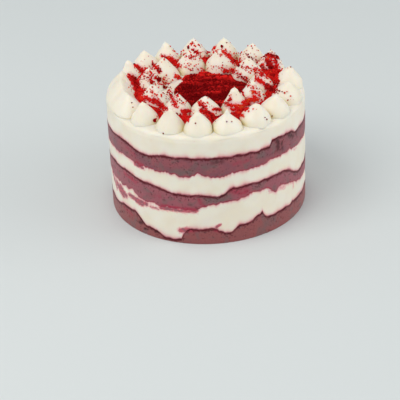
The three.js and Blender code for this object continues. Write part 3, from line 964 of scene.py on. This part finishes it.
# %% Pipe the kisses
def pipe_kiss(kiss, seed):
    """One kiss, as a closed skin."""
    draw = np.random.default_rng(seed)
    rise = np.linspace(0, 1, kiss_rows + 1)[:-1, None] ** row_crowding
    angle = np.linspace(0, 2 * math.pi, kiss_sides, endpoint=False)
    lean = (kiss["tip"] - kiss["foot"])[:2]
    curl = place(draw.uniform(*curl_mm) * MM, draw.uniform(0, 2 * math.pi), 0.0)[:2]
    centre = kiss["foot"][:2] + lean * rise[..., None] ** 2
    centre = centre + curl * np.clip((rise[..., None] - peak_start) / (1 - peak_start), 0, 1) ** 2
    radius = kiss_profile(rise, kiss)
    oval = 1 + oval_share * np.cos(2 * (angle - draw.uniform(0, math.pi)))
    around = place(radius * oval, angle, 0.0)
    points = np.zeros((kiss_rows, kiss_sides, 3))
    points[..., :2] = centre + around[..., :2]
    # Painted shade: low on the kiss and near a pressing neighbour, the crease is marked for a yellow
    # shade.
    butter = butter_strength * press(points, kiss) * np.clip(1 - rise / butter_rise, 0, 1)
    reach = np.linalg.norm(points[..., :2], axis=-1, keepdims=True)
    points[..., :2] *= np.minimum(1, (cake_radius - kiss_clear) / reach)
    let_down(points, rise, kiss["tip"][2])
    bumps = ripple(points, bump_size, seed + 100) * (1 - rise) * bump_depth
    outwards = (around / np.maximum(radius, bump_depth)[..., None])[..., :2]
    points[..., :2] += outwards * bumps[..., None]
    piece = skin(
        "piped_" + kiss["node"], points, (*kiss["foot"][:2], top_height - kiss_sink),
        (*(centre[-1, 0] + curl * curl_at_tip), kiss["tip"][2]), butter=np.minimum(butter, 1))
    piece.data.materials.append(cream.material)
    return hand_over(piece, "cream", kiss["node"])


kiss_pieces = [pipe_kiss(kiss, index) for index, kiss in enumerate(kisses)]

# %% Smooth the mound
mound_face = 0.4 * MM
mound_smoothing = 60
mound_swell = 0.35 * MM
mound_end = 9.0
mound_flare = 1.4 * MM
mound_flare_rise = 0.1
mound_clear = 0.1 * MM
mound_unevenness = 0.2 * MM
mound_lumps = 6 * MM
lobe_half_turn = 4.0
groove_ease = 5.0
groove_depth = 0.3 * MM
saddle_share = 0.04


def run_together(node):
    """A smooth mound in even small faces, of a packed mound's form."""
    source = bmesh.new()
    source.from_mesh(nodes[node].data)
    bmesh.ops.remove_doubles(source, verts=source.verts, dist=0.01 * MM)
    piece = add("piped_" + node, bpy.data.meshes.new("piped_" + node))
    source.to_mesh(piece.data)
    source.free()
    for kind, settings in (
            ("REMESH", {"mode": "VOXEL", "voxel_size": mound_face, "use_smooth_shade": True}),
            ("SMOOTH", {"factor": 0.5, "iterations": mound_smoothing}),
            ("DISPLACE", {"strength": mound_swell, "mid_level": 0.0})):
        modifier = piece.modifiers.new(kind.title(), kind)
        for key, value in settings.items():
            setattr(modifier, key, value)
    keep_result(piece)
    points = read_points(piece.data)
    low, high = points[:, 2].min(), points[:, 2].max()
    share = (points[:, 2] - low) / (high - low)
    along = angle_gap(angle_of(points), mound_middle)
    inside = np.clip(along, mound_end - mound_half_turn, mound_half_turn - mound_end)
    spine = place(mound_distance, np.radians(mound_middle + inside), 0.0)[:, :2]
    outwards = points[:, :2] - spine
    outwards /= np.maximum(np.linalg.norm(outwards, axis=1), 0.5 * MM)[:, None]
    flare = mound_flare * np.exp(-share / mound_flare_rise)
    to_lobe = np.min(np.abs((mound_middle + along)[:, None] - np.array(lobes)), axis=1)
    groove = ease((to_lobe - lobe_half_turn) / groove_ease)
    groove *= (mound_middle + along > lobes[0]) & (mound_middle + along < lobes[-1])
    push = flare + mound_unevenness * ripple(points, mound_lumps, 61) - groove_depth * groove
    points[:, :2] += outwards * push[:, None]
    reach = np.linalg.norm(points[:, :2], axis=1)
    points[:, :2] *= np.minimum(1, (cake_radius - mound_clear) / reach)[:, None]
    let_down(points, share * (1 - saddle_share * groove), high)
    write_points(piece.data, points)
    piece.data.materials.clear()
    piece.data.materials.append(cream.material)
    return hand_over(piece, "cream", node)


kiss_pieces.append(run_together("kiss_mound"))

# %% [markdown]
# ## The bed of crumb
#
# The middle is filled with red crumb up to the inner kisses, but at the left it stops short of them.
# Its core is a low uneven heap, and shallow furrows run across it from left to right. Its colour
# holds painted shade in the furrows and painted light towards the back. The loose crumbs that lie on
# it come later, together with all the others.

# %% Core of the bed
bed_steps = 480
bed_rows = 90
bed_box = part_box("crumb_bed")
bed_reach = max(bed_box[1].x, -bed_box[0].x, bed_box[1].y, -bed_box[0].y)
bed_height = 0.5 * (bed_box[1].z - bed_box[0].z)
bed_overlap = 0.93
bed_least = 0.4 * MM
bed_foot = 0.1 * MM
bed_slope_share = 0.08
# Painted light: the bed's tone grows lighter towards the back.
bed_back_light = 0.9
back_light_start = 0.2
back_light_least = -0.25
bed_short_side = {"middle": -105.0, "half_turn": 39.0, "ease": 24.0, "reach": 15.6 * MM}
furrow_depth = 0.6 * MM
furrow_size = 2.8 * MM
# Painted shade: how much darker the tone is in the furrows.
furrow_shade_tone = 0.4
furrow_stretch = np.array([0.2, 1.0, 1.0])
furrow_fade = 0.1
grit_depth = 0.16 * MM
grit_size = 1.1 * MM
fine_grit_size = 0.5 * MM
fine_grit_share = 0.6


def bed_edge(angle):
    """How far the bed runs: mostly up to the kisses, but at the left it stops short of them."""
    outward = place(1.0, angle, 0.0)[..., :2]
    inside = bed_short_side["half_turn"] - np.abs(angle_gap(angle, bed_short_side["middle"]))
    short = ease(inside / bed_short_side["ease"] + 0.5)
    edge = bed_reach + (bed_short_side["reach"] - bed_reach) * short
    for kiss in kisses:
        along = outward @ kiss["foot"][:2]
        square = np.sum(kiss["foot"][:2] ** 2) - along ** 2
        clear = kiss["radius"] * bed_overlap
        hit = along - np.sqrt(np.clip(clear ** 2 - square, 0, None))
        edge = np.where((square < clear ** 2) & (along > 0), np.minimum(edge, hit), edge)
    return edge


share = np.linspace(1, 0.01, bed_rows)[:, None]
bed_angle = np.linspace(0, 2 * math.pi, bed_steps, endpoint=False)
edge = bed_edge(bed_angle)
grid = place(edge * share, bed_angle, 0.0)
heap = bed_height * np.clip((1 - share) / bed_slope_share + 0.5, 0, 1)
furrows = ripple(grid * furrow_stretch, furrow_size, 51)
grit = ripple(grid, grit_size, 52) + fine_grit_share * ripple(grid, fine_grit_size, 53)
rough = (furrow_depth * furrows + grit_depth * grit) * np.clip((1 - share) / furrow_fade, 0, 1)
grid[..., 2] = top_height + np.maximum(heap + rough, bed_least)
# Painted light: the tone is lighter towards the back of the bed.
back_light = bed_back_light * np.clip(grid[..., 1] / bed_reach - back_light_start, back_light_least, 1)
# Painted shade: the tone is darker in the furrows.
tone = back_light + furrow_shade_tone * furrows
foot_ring = place(edge, bed_angle, top_height - bed_foot)[None]
bed = skin(
    "heaped_crumb_bed", np.concatenate([foot_ring, grid]), (0, 0, top_height - bed_foot),
    (0, 0, grid[-1, :, 2].mean()), tone=np.concatenate([tone[:1], tone]))
bed.data.materials.append(crumb.material)
hand_over(bed, "crumb", "crumb_bed")
print("bed reaches", round(edge.max() / MM, 1), "mm, height", round(bed_height / MM, 1))

# %% [markdown]
# ## The drift between the rings
#
# Much of the crumb slid down the kisses and lies packed in the valley between the two
# rings. Loose pieces alone would never hide the cream there, so a core of packed crumb
# comes first: a ring that swells between two feet. In the widest gap of the outer ring it
# spills out towards the rim as a heap.

# %% Core of the drift
drift_steps = 900
drift_rows = 40
drift_inner = 28.5 * MM
drift_outer = 39.0 * MM
drift_height = 2.5 * MM
drift_sink = 0.3 * MM
drift_lump_depth = 0.35 * MM
drift_lump_size = 1.3 * MM
drift_grit_size = 0.6 * MM
drift_waves = 0.18
drift_wave_size = 7 * MM
drift_fullness = 0.7
drift_tone = 0.55
drift_tone_patches = 0.25
drift_patch_size = 5 * MM
spill = {"angle": 110.0, "half_turn": 9.0, "outer": 45.0 * MM, "rise": 1.2 * MM}

drift_angle = np.linspace(0, 2 * math.pi, drift_steps, endpoint=False)
spilled = ease(1 - np.abs(angle_gap(drift_angle, spill["angle"])) / spill["half_turn"])
outer_foot = drift_outer + (spill["outer"] - drift_outer) * spilled
share = np.linspace(0, 1, drift_rows)[:, None]
grid = place(outer_foot + (drift_inner - outer_foot) * share, drift_angle, 0.0)
slow = 1 + drift_waves * ripple(grid, drift_wave_size, 71)
swell = np.sin(math.pi * share) ** drift_fullness
lumpy = drift_lump_depth * ripple(grid, drift_lump_size, 72)
lumpy += grit_depth * ripple(grid, drift_grit_size, 73)
grid[..., 2] = top_height - drift_sink + swell * (
    drift_height * slow + spill["rise"] * spilled + lumpy)
drift = skin(
    "drifted_crumb", grid, (0, 0, top_height - 2 * drift_sink), (0, 0, top_height - drift_sink),
    tone=drift_tone + drift_tone_patches * ripple(grid, drift_patch_size, 74))
drift.data.materials.append(crumb.material)
hand_over(drift, "crumb")
print("drift up to", round(float(grid[..., 2].max() - top_height) / MM, 1), "mm high")

# %% [markdown]
# ## Letting the crumb fall
#
# Crumb is strewn by hand in pinches. Each crumb drops on the cream, rolls down the kiss it
# landed on or sticks there, and piles up in the valley between the rings. A height map of
# the top is enough to act this out: a ray finds the height of each cell, a crumb moves
# downhill until the slope is gentle, and the cell it stops in grows by its thickness.

# %% Height map of the top
cell = 0.25 * MM
cells_across = 2 * int(cake_radius / cell) + 1
map_margin = 0.3 * MM
map_reach = 10 * MM


def solid_of(pieces):
    """One search tree over several pieces."""
    points, faces = [], []
    for piece in pieces:
        start = len(points)
        points += [vertex.co[:] for vertex in piece.data.vertices]
        faces += [[start + corner for corner in face.vertices] for face in piece.data.polygons]
    return BVHTree.FromPolygons(points, faces)


top_solid = solid_of([top_piece, bed, drift, *kiss_pieces])
axis = (np.arange(cells_across) - cells_across // 2) * cell
heights = np.full((cells_across, cells_across), top_height - map_reach)
for row, y in enumerate(axis):
    for column, x in enumerate(axis):
        if math.hypot(x, y) < cake_radius - map_margin:
            above = Vector((x, y, cad_high.z + map_reach))
            hit = top_solid.ray_cast(above, Vector((0, 0, -1)))[0]
            if hit is not None:
                heights[row, column] = hit.z
print("height map of", cells_across, "cells a side, up to", round(heights.max() / MM, 1), "mm")

# %% Where the pinches fall
draw = np.random.default_rng(2026)
crumb_reach = cake_radius - 1.5 * MM
# Each pinch falls at an angle and a radius, spreads by some degrees and millimetres round
# them, and has a share of the crumb.
pinches = [
    (0, 34.3, 400, 1.7, 0.7), (0, 28.5, 400, 4.5, 0.12), (110, 40, 4, 3, 0.12),
    (178, 36, 38, 3, 0.12), (120, 39, 10, 3, 0.12), (-105, 34, 10, 2, 0.08)]


def strew(count):
    """Random landing places for some crumbs, by the pinches' shares."""
    spots = []
    for angle, radius, spread, width, share in pinches:
        number = int(round(count * share))
        angles = np.radians(draw.normal(angle, spread, number))
        radii = np.abs(draw.normal(radius, width, number)) * MM
        spots.append(place(radii, angles, 0.0)[:, :2])
    spots = draw.permutation(np.concatenate(spots))
    return spots[np.hypot(spots[:, 0], spots[:, 1]) < crumb_reach]


# %% Roll, stick and pile up
repose = math.tan(math.radians(38))
roll_step = 0.3 * MM
most_steps = 40
batch_count = 24
pile_share = 0.9
sink_share = 0.45
pile_lift = 0.4
cream_reach = 0.35 * MM


def cell_of(spots):
    """Row and column of the height map for each spot."""
    index = np.clip(np.round(spots / cell).astype(int) + cells_across // 2, 2, cells_across - 3)
    return index[:, 1], index[:, 0]


def uphill(spots):
    """Slope at each spot, pointing uphill, from the height map."""
    row, column = cell_of(spots)
    across = (heights[row, column + 2] - heights[row, column - 2]) / (4 * cell)
    along = (heights[row + 2, column] - heights[row - 2, column]) / (4 * cell)
    return np.stack([across, along], axis=-1)


def settle(spots, sizes, stickiness):
    """Let crumbs roll down, in batches, and grow the height map under each batch."""
    resting = []
    for batch in np.array_split(np.arange(len(spots)), batch_count):
        here = spots[batch].copy()
        loose = np.ones(len(batch), bool)
        for _ in range(most_steps):
            slope = uphill(here)
            steep = np.linalg.norm(slope, axis=1)
            loose &= (steep > repose) & (draw.random(len(batch)) > stickiness)
            step = slope / np.maximum(steep, 1e-6)[:, None] * roll_step
            here = np.where(loose[:, None], here - step, here)
        row, column = cell_of(here)
        low = heights[row, column].copy()
        for turn_row in (-1, 0, 1):
            for turn_column in (-1, 0, 1):
                patch = (row + turn_row, column + turn_column)
                heights[patch] = np.maximum(heights[patch], low + sizes[batch] * pile_share)
        resting.append(np.column_stack([here, low]))
    return np.concatenate(resting)


def seat(resting, sizes):
    """Centres of the crumbs: on the cream itself, or on the crumb piled over it."""
    centres = np.empty((len(resting), 3))
    for index, (spot, size) in enumerate(zip(resting, sizes)):
        location, normal, _, distance = top_solid.find_nearest(Vector(spot))
        if distance < cream_reach:
            centres[index] = location + normal * size * sink_share
        else:
            centres[index] = spot + np.array([0, 0, size * pile_lift])
    return centres


# %% [markdown]
# ## Crumb that stuck where it is seen
#
# Some pinches stuck to the kisses as they fell, and those streaks and clusters give this
# cake its face. Each is a streak between two places in the camera's picture, in pixels of a
# picture 400 wide. A ray through each crumb's pixel finds the cream or crumb behind it, and
# the crumb is seated there, so it rests on its kiss from every side.

# %% Streaks and single crumbs, by their places in the picture
# Each streak runs from one pixel to another, and has its width in pixels, how densely it is
# covered, and its tone.
streaks = [
    ((129, 76), (137, 82), 2.6, 1.0, 0.7), ((135, 80), (139, 84), 2.2, 1.0, 0.5),
    ((132, 83), (139, 92), 1.9, 0.8, 0.7), ((138, 91), (143, 100), 2.0, 1.0, 1.2),
    ((135, 65), (144, 72), 2.0, 0.8, 0.8), ((153, 64), (160, 72), 2.0, 0.7, 0.6),
    ((161, 55.5), (172, 60), 1.2, 1.1, 0.4), ((169, 58), (179, 66), 2.4, 1.0, 1.0),
    ((153, 99), (166, 109), 2.4, 1.0, 0.7), ((181, 111), (191, 111), 1.6, 1.0, 0.9),
    ((184, 113), (188, 121), 1.9, 1.1, 0.7), ((201, 110), (216, 118), 2.5, 1.0, 0.6),
    ((209, 112), (213, 117), 1.7, 0.9, -0.1), ((213, 109), (221, 110), 1.7, 0.6, 0.7),
    ((228, 105.5), (245, 106), 1.5, 1.0, 1.1), ((231, 109), (248, 109), 2.0, 0.8, 0.9),
    ((237, 113), (243, 116), 1.6, 0.8, 1.0), ((243, 103), (249, 103), 2.0, 1.1, 1.0),
    ((246, 100.5), (257, 99), 2.0, 1.1, 1.0), ((252, 96), (262, 100), 1.2, 0.4, 1.0),
    ((266, 86), (276, 91), 2.8, 0.9, 0.3), ((269, 88), (273, 91), 1.9, 1.0, 0.0),
    ((267, 55), (279, 58), 2.3, 0.9, 0.3), ((268, 60), (273, 74), 2.8, 1.0, 0.25),
    ((276, 60), (277, 84), 2.2, 0.9, 0.45), ((207, 52), (215, 46.5), 2.0, 0.8, 1.0),
    ((191.5, 49.5), (198, 53), 1.1, 0.9, 0.5), ((222, 51), (232, 59), 1.4, 0.8, 1.2),
    ((230, 58), (235, 65), 1.4, 0.6, 0.9), ((223, 71), (235, 70), 1.8, 0.45, 1.0),
    ((205, 74.5), (221, 75), 1.1, 0.5, 1.0), ((175, 90), (181, 86), 1.2, 0.6, 0.6),
    ((174, 76), (184, 80), 1.8, 0.5, 1.0), ((168, 90), (176, 107), 2.8, 0.35, 0.8),
    ((222, 102), (231, 105), 1.5, 0.5, 0.7), ((256, 79), (265, 84), 1.9, 0.8, 0.7),
    ((242, 91), (244, 96), 1.1, 0.4, 0.7), ((228, 101), (231, 98), 1.4, 0.5, 0.7),
    ((256, 69), (268, 77), 2.6, 0.35, 1.0), ((233, 71), (250, 82), 2.9, 0.2, 0.6),
    ((190, 76), (196, 75), 1.2, 0.9, -0.2), ((143, 97), (152, 101), 1.8, 0.5, 1.0),
    ((251, 91), (260, 94), 2.0, 0.3, 1.0), ((199, 103), (206, 108), 1.8, 0.4, 0.9),
]
sprinkles = [
    ((190, 44), (205, 45), 2.8, 0.14, 0.9), ((174, 50), (200, 58), 4.5, 0.15, 0.9),
    ((215, 50), (240, 58), 4.5, 0.14, 0.9), ((144, 76), (170, 84), 5.5, 0.16, 0.7),
    ((144, 90), (164, 98), 4.5, 0.12, 0.8), ((241, 52), (256, 62), 3.8, 0.06, 0.2),
    ((238, 63), (262, 75), 4.5, 0.12, 0.8), ((249, 84), (262, 94), 4.0, 0.10, 0.8),
    ((212, 66), (232, 70), 3.8, 0.07, 0.9), ((182, 66), (206, 70), 4.5, 0.08, 0.7),
    ((176, 94), (185, 107), 3.6, 0.13, 0.8), ((199, 102), (214, 106), 2.6, 0.09, 0.8),
    ((283, 60), (292, 72), 2.6, 0.03, 0.5), ((280, 84), (291, 99), 3.6, 0.02, 0.4),
    ((250, 108), (262, 110), 2.2, 0.04, 0.5), ((146, 68), (152, 74), 3.0, 0.14, 0.9),
    ((154, 112), (158, 118), 2.0, 0.06, 0.7), ((222, 88), (232, 96), 2.5, 0.04, 0.7),
]
# A single crumb has its pixel and its radius in millimetres.
singles = {
    "chunk_crumb": [
        (158.3, 80, 1.2), (151.5, 82.5, 0.9), (163.5, 87, 0.8), (175, 48.5, 0.9), (188.6, 48, 0.8),
        (221.9, 46.7, 0.8), (239.2, 65.8, 0.75), (154.4, 120.5, 0.85), (161, 116.3, 0.6),
        (177, 113.9, 0.6), (135, 64.5, 0.6), (129, 75.5, 0.6), (213.7, 46, 0.7)],
    "coarse_crumb": [
        (163.3, 133.3, 0.4), (195.6, 123.3, 0.4), (226.7, 121.7, 0.35), (231.7, 121.7, 0.35),
        (239.4, 118.9, 0.45), (266.7, 119.4, 0.45), (272.2, 116, 0.35), (287.8, 100, 0.4),
        (282.2, 91.7, 0.4), (290.5, 67.2, 0.4), (286, 60.5, 0.35), (131.7, 102.8, 0.35),
        (132.8, 107.2, 0.35), (192.5, 42.2, 0.45), (206.4, 44.4, 0.4), (226.7, 42.8, 0.4),
        (234.8, 44.4, 0.4), (238, 50, 0.4), (252.5, 48.3, 0.35), (265.2, 53.3, 0.4),
        (180, 49.5, 0.4), (265, 117.5, 0.35), (215, 138, 0.3), (250, 134, 0.3), (291, 66.5, 0.35)],
}

# %% Stick crumbs where they are seen
picture_width = 400
top_slack = 3 * MM
tone_spread = 0.3
single_tones = (-0.4, 0.3)


def seen_at(across, down):
    """Where the camera's ray through a pixel meets the top, and which way the surface faces."""
    half = picture_width / 2
    ray = camera.matrix_world.to_3x3() @ Vector((
        (across - half) / picture_width, (half - down) / picture_width,
        -camera.data.lens / camera.data.sensor_width))
    location, normal, _, _ = top_solid.ray_cast(camera.matrix_world.translation, ray.normalized())
    if location is None or location.z < top_height - top_slack or location.xy.length > crumb_reach:
        return None
    return location, normal if normal.dot(ray) < 0 else -normal


def stick(streak_list, each_pixel, least, most):
    """Crumbs along streaks: their centres, sizes and tones."""
    centres, sizes, tones = [], [], []
    for start, end, thick, cover, tone in streak_list:
        start, end = np.array(start), np.array(end)
        area = (np.linalg.norm(end - start) + 2 * thick) * 2 * thick
        for _ in range(int(area * cover * each_pixel)):
            pixel = start + (end - start) * draw.random() + draw.normal(0, thick / 2, 2)
            seen = seen_at(*pixel)
            if seen is not None:
                sizes.append(draw.uniform(least, most) * MM)
                centres.append(seen[0] + seen[1] * sizes[-1] * sink_share)
                tones.append(tone + draw.uniform(-tone_spread, tone_spread))
    return np.array(centres), np.array(sizes), np.array(tones)


def stick_singles(single_list):
    """Single crumbs: their centres, sizes and tones."""
    centres, sizes = [], []
    for across, down, radius in single_list:
        seen = seen_at(across, down)
        if seen is not None:
            sizes.append(radius * MM)
            centres.append(seen[0] + seen[1] * sizes[-1] * sink_share)
    return np.array(centres), np.array(sizes), draw.uniform(*single_tones, len(sizes))


print(len(streaks) + len(sprinkles), "streaks")

# %% [markdown]
# ## Making the crumbs
#
# Thousands of crumbs need a shape that costs little. The tree puts a rough ball of twenty
# faces on each point, or of eighty for the largest, turned and scaled by numbers stored
# there. Then a noise in the object's own space pushes every corner, so that no two crumbs
# have the same shape.

# %% Geometry Nodes tree for the crumbs
lumps, given = new_tree("crumb_lumps", {
    "Roundness": "Int", "Lump Size": "Float", "Unevenness": "Float", "Material": "Material"})
points = put(lumps, "GeometryNodeMeshToPoints", {"Mesh": given["Geometry"]})
ball = put(lumps, "GeometryNodeMeshIcoSphere", {"Radius": 1.0, "Subdivisions": given["Roundness"]})
size, twist = [
    put(lumps, "GeometryNodeInputNamedAttribute", {"Name": name}, data_type=kind).outputs[0]
    for name, kind in (("crumb_size", "FLOAT"), ("crumb_turn", "FLOAT_VECTOR"))]
set_out = put(lumps, "GeometryNodeInstanceOnPoints", {
    "Points": points.outputs[0], "Instance": ball.outputs[0], "Rotation": twist, "Scale": size})
real = put(lumps, "GeometryNodeRealizeInstances", {"Geometry": set_out.outputs[0]})
knobs = put(lumps, "ShaderNodeTexNoise", {
    "Vector": put(lumps, "GeometryNodeInputPosition").outputs[0],
    "Scale": calc("DIVIDE", 1.0, given["Lump Size"]), "Detail": 1.0})
centred = vector_step(lumps, "SUBTRACT", {0: knobs.outputs["Color"], 1: (0.5, 0.5, 0.5)})
reach = calc("MULTIPLY", size, given["Unevenness"])
offset = vector_step(lumps, "SCALE", {0: centred, "Scale": reach})
shaped = put(lumps, "GeometryNodeSetPosition", {"Geometry": real.outputs[0], "Offset": offset})
angular = put(lumps, "GeometryNodeSetShadeSmooth", {
    "Geometry": shaped.outputs[0], "Shade Smooth": False})
close_tree(lumps, angular.outputs[0], given["Material"])

# %% Turn resting crumbs into a piece
crumb_unevenness = 1.6
lumps_to_size = 1.4


def crumb_piece(name, centres, sizes, tones, roundness=1):
    """One piece made of many crumbs."""
    mesh = bpy.data.meshes.new(name)
    mesh.vertices.add(len(centres))
    mesh.vertices.foreach_set("co", centres.astype(np.float32).ravel())
    store(mesh, "crumb_size", sizes)
    store(mesh, "tone", tones)
    turns = draw.uniform(0, 2 * math.pi, (len(centres), 3))
    mesh.attributes.new("crumb_turn", "FLOAT_VECTOR", "POINT").data.foreach_set(
        "vector", turns.ravel())
    piece = add(name, mesh)
    apply_tree(
        piece, lumps, roundness=roundness, lump_size=float(np.mean(sizes)) * lumps_to_size,
        unevenness=crumb_unevenness, material=crumb.material)
    hand_over(piece, "crumb")


# %% Crumbs on the bed
bed_count = 1500
bed_share = 0.92
bed_radius_mm = (0.2, 0.45)
bed_tones = (-0.45, 0.1)
back_light_tone = 0.8
spread_angle = draw.uniform(0, 2 * math.pi, bed_count)
spread_radius = np.sqrt(draw.random(bed_count)) * bed_edge(spread_angle) * bed_share
sizes = draw.uniform(*bed_radius_mm, bed_count) * MM
spots = place(spread_radius, spread_angle, 0.0)[:, :2]
resting = settle(spots, sizes, 0.0)
tones = draw.uniform(*bed_tones, bed_count)
# Painted light: bed crumbs grow lighter towards the back.
tones += back_light_tone * np.clip(spots[:, 1] / bed_reach, 0, 1)
centres = seat(resting, sizes)
# Painted shade: bed crumbs are darker in the furrows.
tones += furrow_shade_tone * ripple(centres * furrow_stretch, furrow_size, 51)
crumb_piece("loose_crumb_bed", centres, sizes, tones)

# %% Crumbs over the kisses, darker and brighter in patches
# Each piece has its count, its least and largest radius in millimetres, how easily its
# crumbs stick, and how many there are for each pixel of a streak and of a sprinkle.
fallen_tones = (0.3, 1.2)
tone_patches = 0.25
patch_size = 2.5 * MM
crumb_places = []
for name, count, least, most, stickiness, in_streaks, in_sprinkles in (
        ("chunk_crumb", 14, 0.6, 0.9, 0.2, 0.0, 0.0),
        ("coarse_crumb", 800, 0.28, 0.52, 0.06, 1.2, 1.0),
        ("fine_crumb", 2000, 0.14, 0.28, 0.12, 2.4, 0.6)):
    spots = strew(count)
    sizes = draw.uniform(least, most, len(spots)) * MM
    resting = settle(spots, sizes, stickiness)
    stayed = np.hypot(resting[:, 0], resting[:, 1]) < crumb_reach
    resting, sizes = resting[stayed], sizes[stayed]
    batches = [(seat(resting, sizes), sizes, draw.uniform(*fallen_tones, len(resting)))]
    if in_streaks:
        batches.append(stick(streaks, in_streaks, least, most))
        batches.append(stick(sprinkles, in_sprinkles, least, most))
    if name in singles:
        batches.append(stick_singles(singles[name]))
    centres, sizes, tones = (np.concatenate(parts) for parts in zip(*batches))
    tones += tone_patches * ripple(centres, patch_size, 81)
    crumb_piece(name, centres, sizes, tones, roundness=2 if name == "chunk_crumb" else 1)
    crumb_places.append(centres)

# %% Pink dust on the cream under the crumbs
dust_cell = 0.5 * MM
dust_half = int(cake_radius / dust_cell)
dust_edges = (np.arange(2 * dust_half + 2) - dust_half - 0.5) * dust_cell
dust_blur = 5
dust_kernel = np.hanning(dust_blur + 2)[1:-1]
dust_strength = 0.3
dust_most = 0.6
fallen_on = np.concatenate(crumb_places)
dust = np.histogram2d(fallen_on[:, 0], fallen_on[:, 1], bins=(dust_edges, dust_edges))[0]
for along in (0, 1):
    dust = np.apply_along_axis(np.convolve, along, dust, dust_kernel / dust_kernel.sum(), "same")
for piece in kiss_pieces:
    points = read_points(piece.data)
    column = np.clip(np.round(points[:, :2] / dust_cell).astype(int) + dust_half, 0, 2 * dust_half)
    here = dust[column[:, 0], column[:, 1]]
    store(piece.data, "stain", np.minimum(dust_strength * here, dust_most))
print("most crumbs on one cell of dust", round(float(dust.max()), 1))

# %% [markdown]
# ## Floor and light
#
# The floor is one pale sheet that sweeps up behind the cake, so no horizon line shows. The
# key light is a large square high on the left, a weaker fill stands low on the right, and the
# sky is a pale even grey.

# %% Floor
floor_half = 3.0
floor_back = 1.5
floor_top = 4.0
sweep_radius = 0.8
rise_angle = np.linspace(0, math.pi / 2, 24)
profile = [(-floor_half, 0.0)] + [
    (floor_back + sweep_radius * math.sin(angle), sweep_radius * (1 - math.cos(angle)))
    for angle in rise_angle] + [(floor_back + sweep_radius, floor_top)]
points = [(x, y, z) for y, z in profile for x in (-floor_half, floor_half)]
faces = [(2 * row, 2 * row + 1, 2 * row + 3, 2 * row + 2) for row in range(len(profile) - 1)]
floor = add("floor", bpy.data.meshes.new("floor"))
floor.data.from_pydata(points, [], faces)
floor.data.shade_smooth()
paper = Finish("paper", (0.665, 0.695, 0.69), roughness=0.9, specular_ior_level=0.1)
paper.coat(paper.grain(0.6), (0.695, 0.725, 0.72))
paper.close()
floor.data.materials.append(paper.material)

# %% Lights
sky_colour = (0.95, 0.98, 1.0, 1.0)
sky_strength = 0.73


def soft_light(name, place_at, size, power, colour):
    """A square light that faces the cake."""
    light = add(name, bpy.data.lights.new(name, "AREA"))
    light.data.size = size
    light.data.energy = power
    light.data.color = colour
    light.location = place_at
    facing = Vector(place_at) - Vector((0, 0, top_height / 2))
    light.rotation_euler = facing.to_track_quat("Z", "Y").to_euler()


soft_light("key", (-0.55, -0.35, 0.9), 0.7, 4.5, (1.0, 0.98, 0.95))
soft_light("fill", (1.0, -0.2, 0.3), 0.8, 3.3, (1.0, 0.99, 0.98))
world = bpy.data.worlds.new("sky")
world.use_nodes = True
sky = world.node_tree.nodes["Background"].inputs
sky["Color"].default_value = sky_colour
sky["Strength"].default_value = sky_strength
bpy.context.scene.world = world
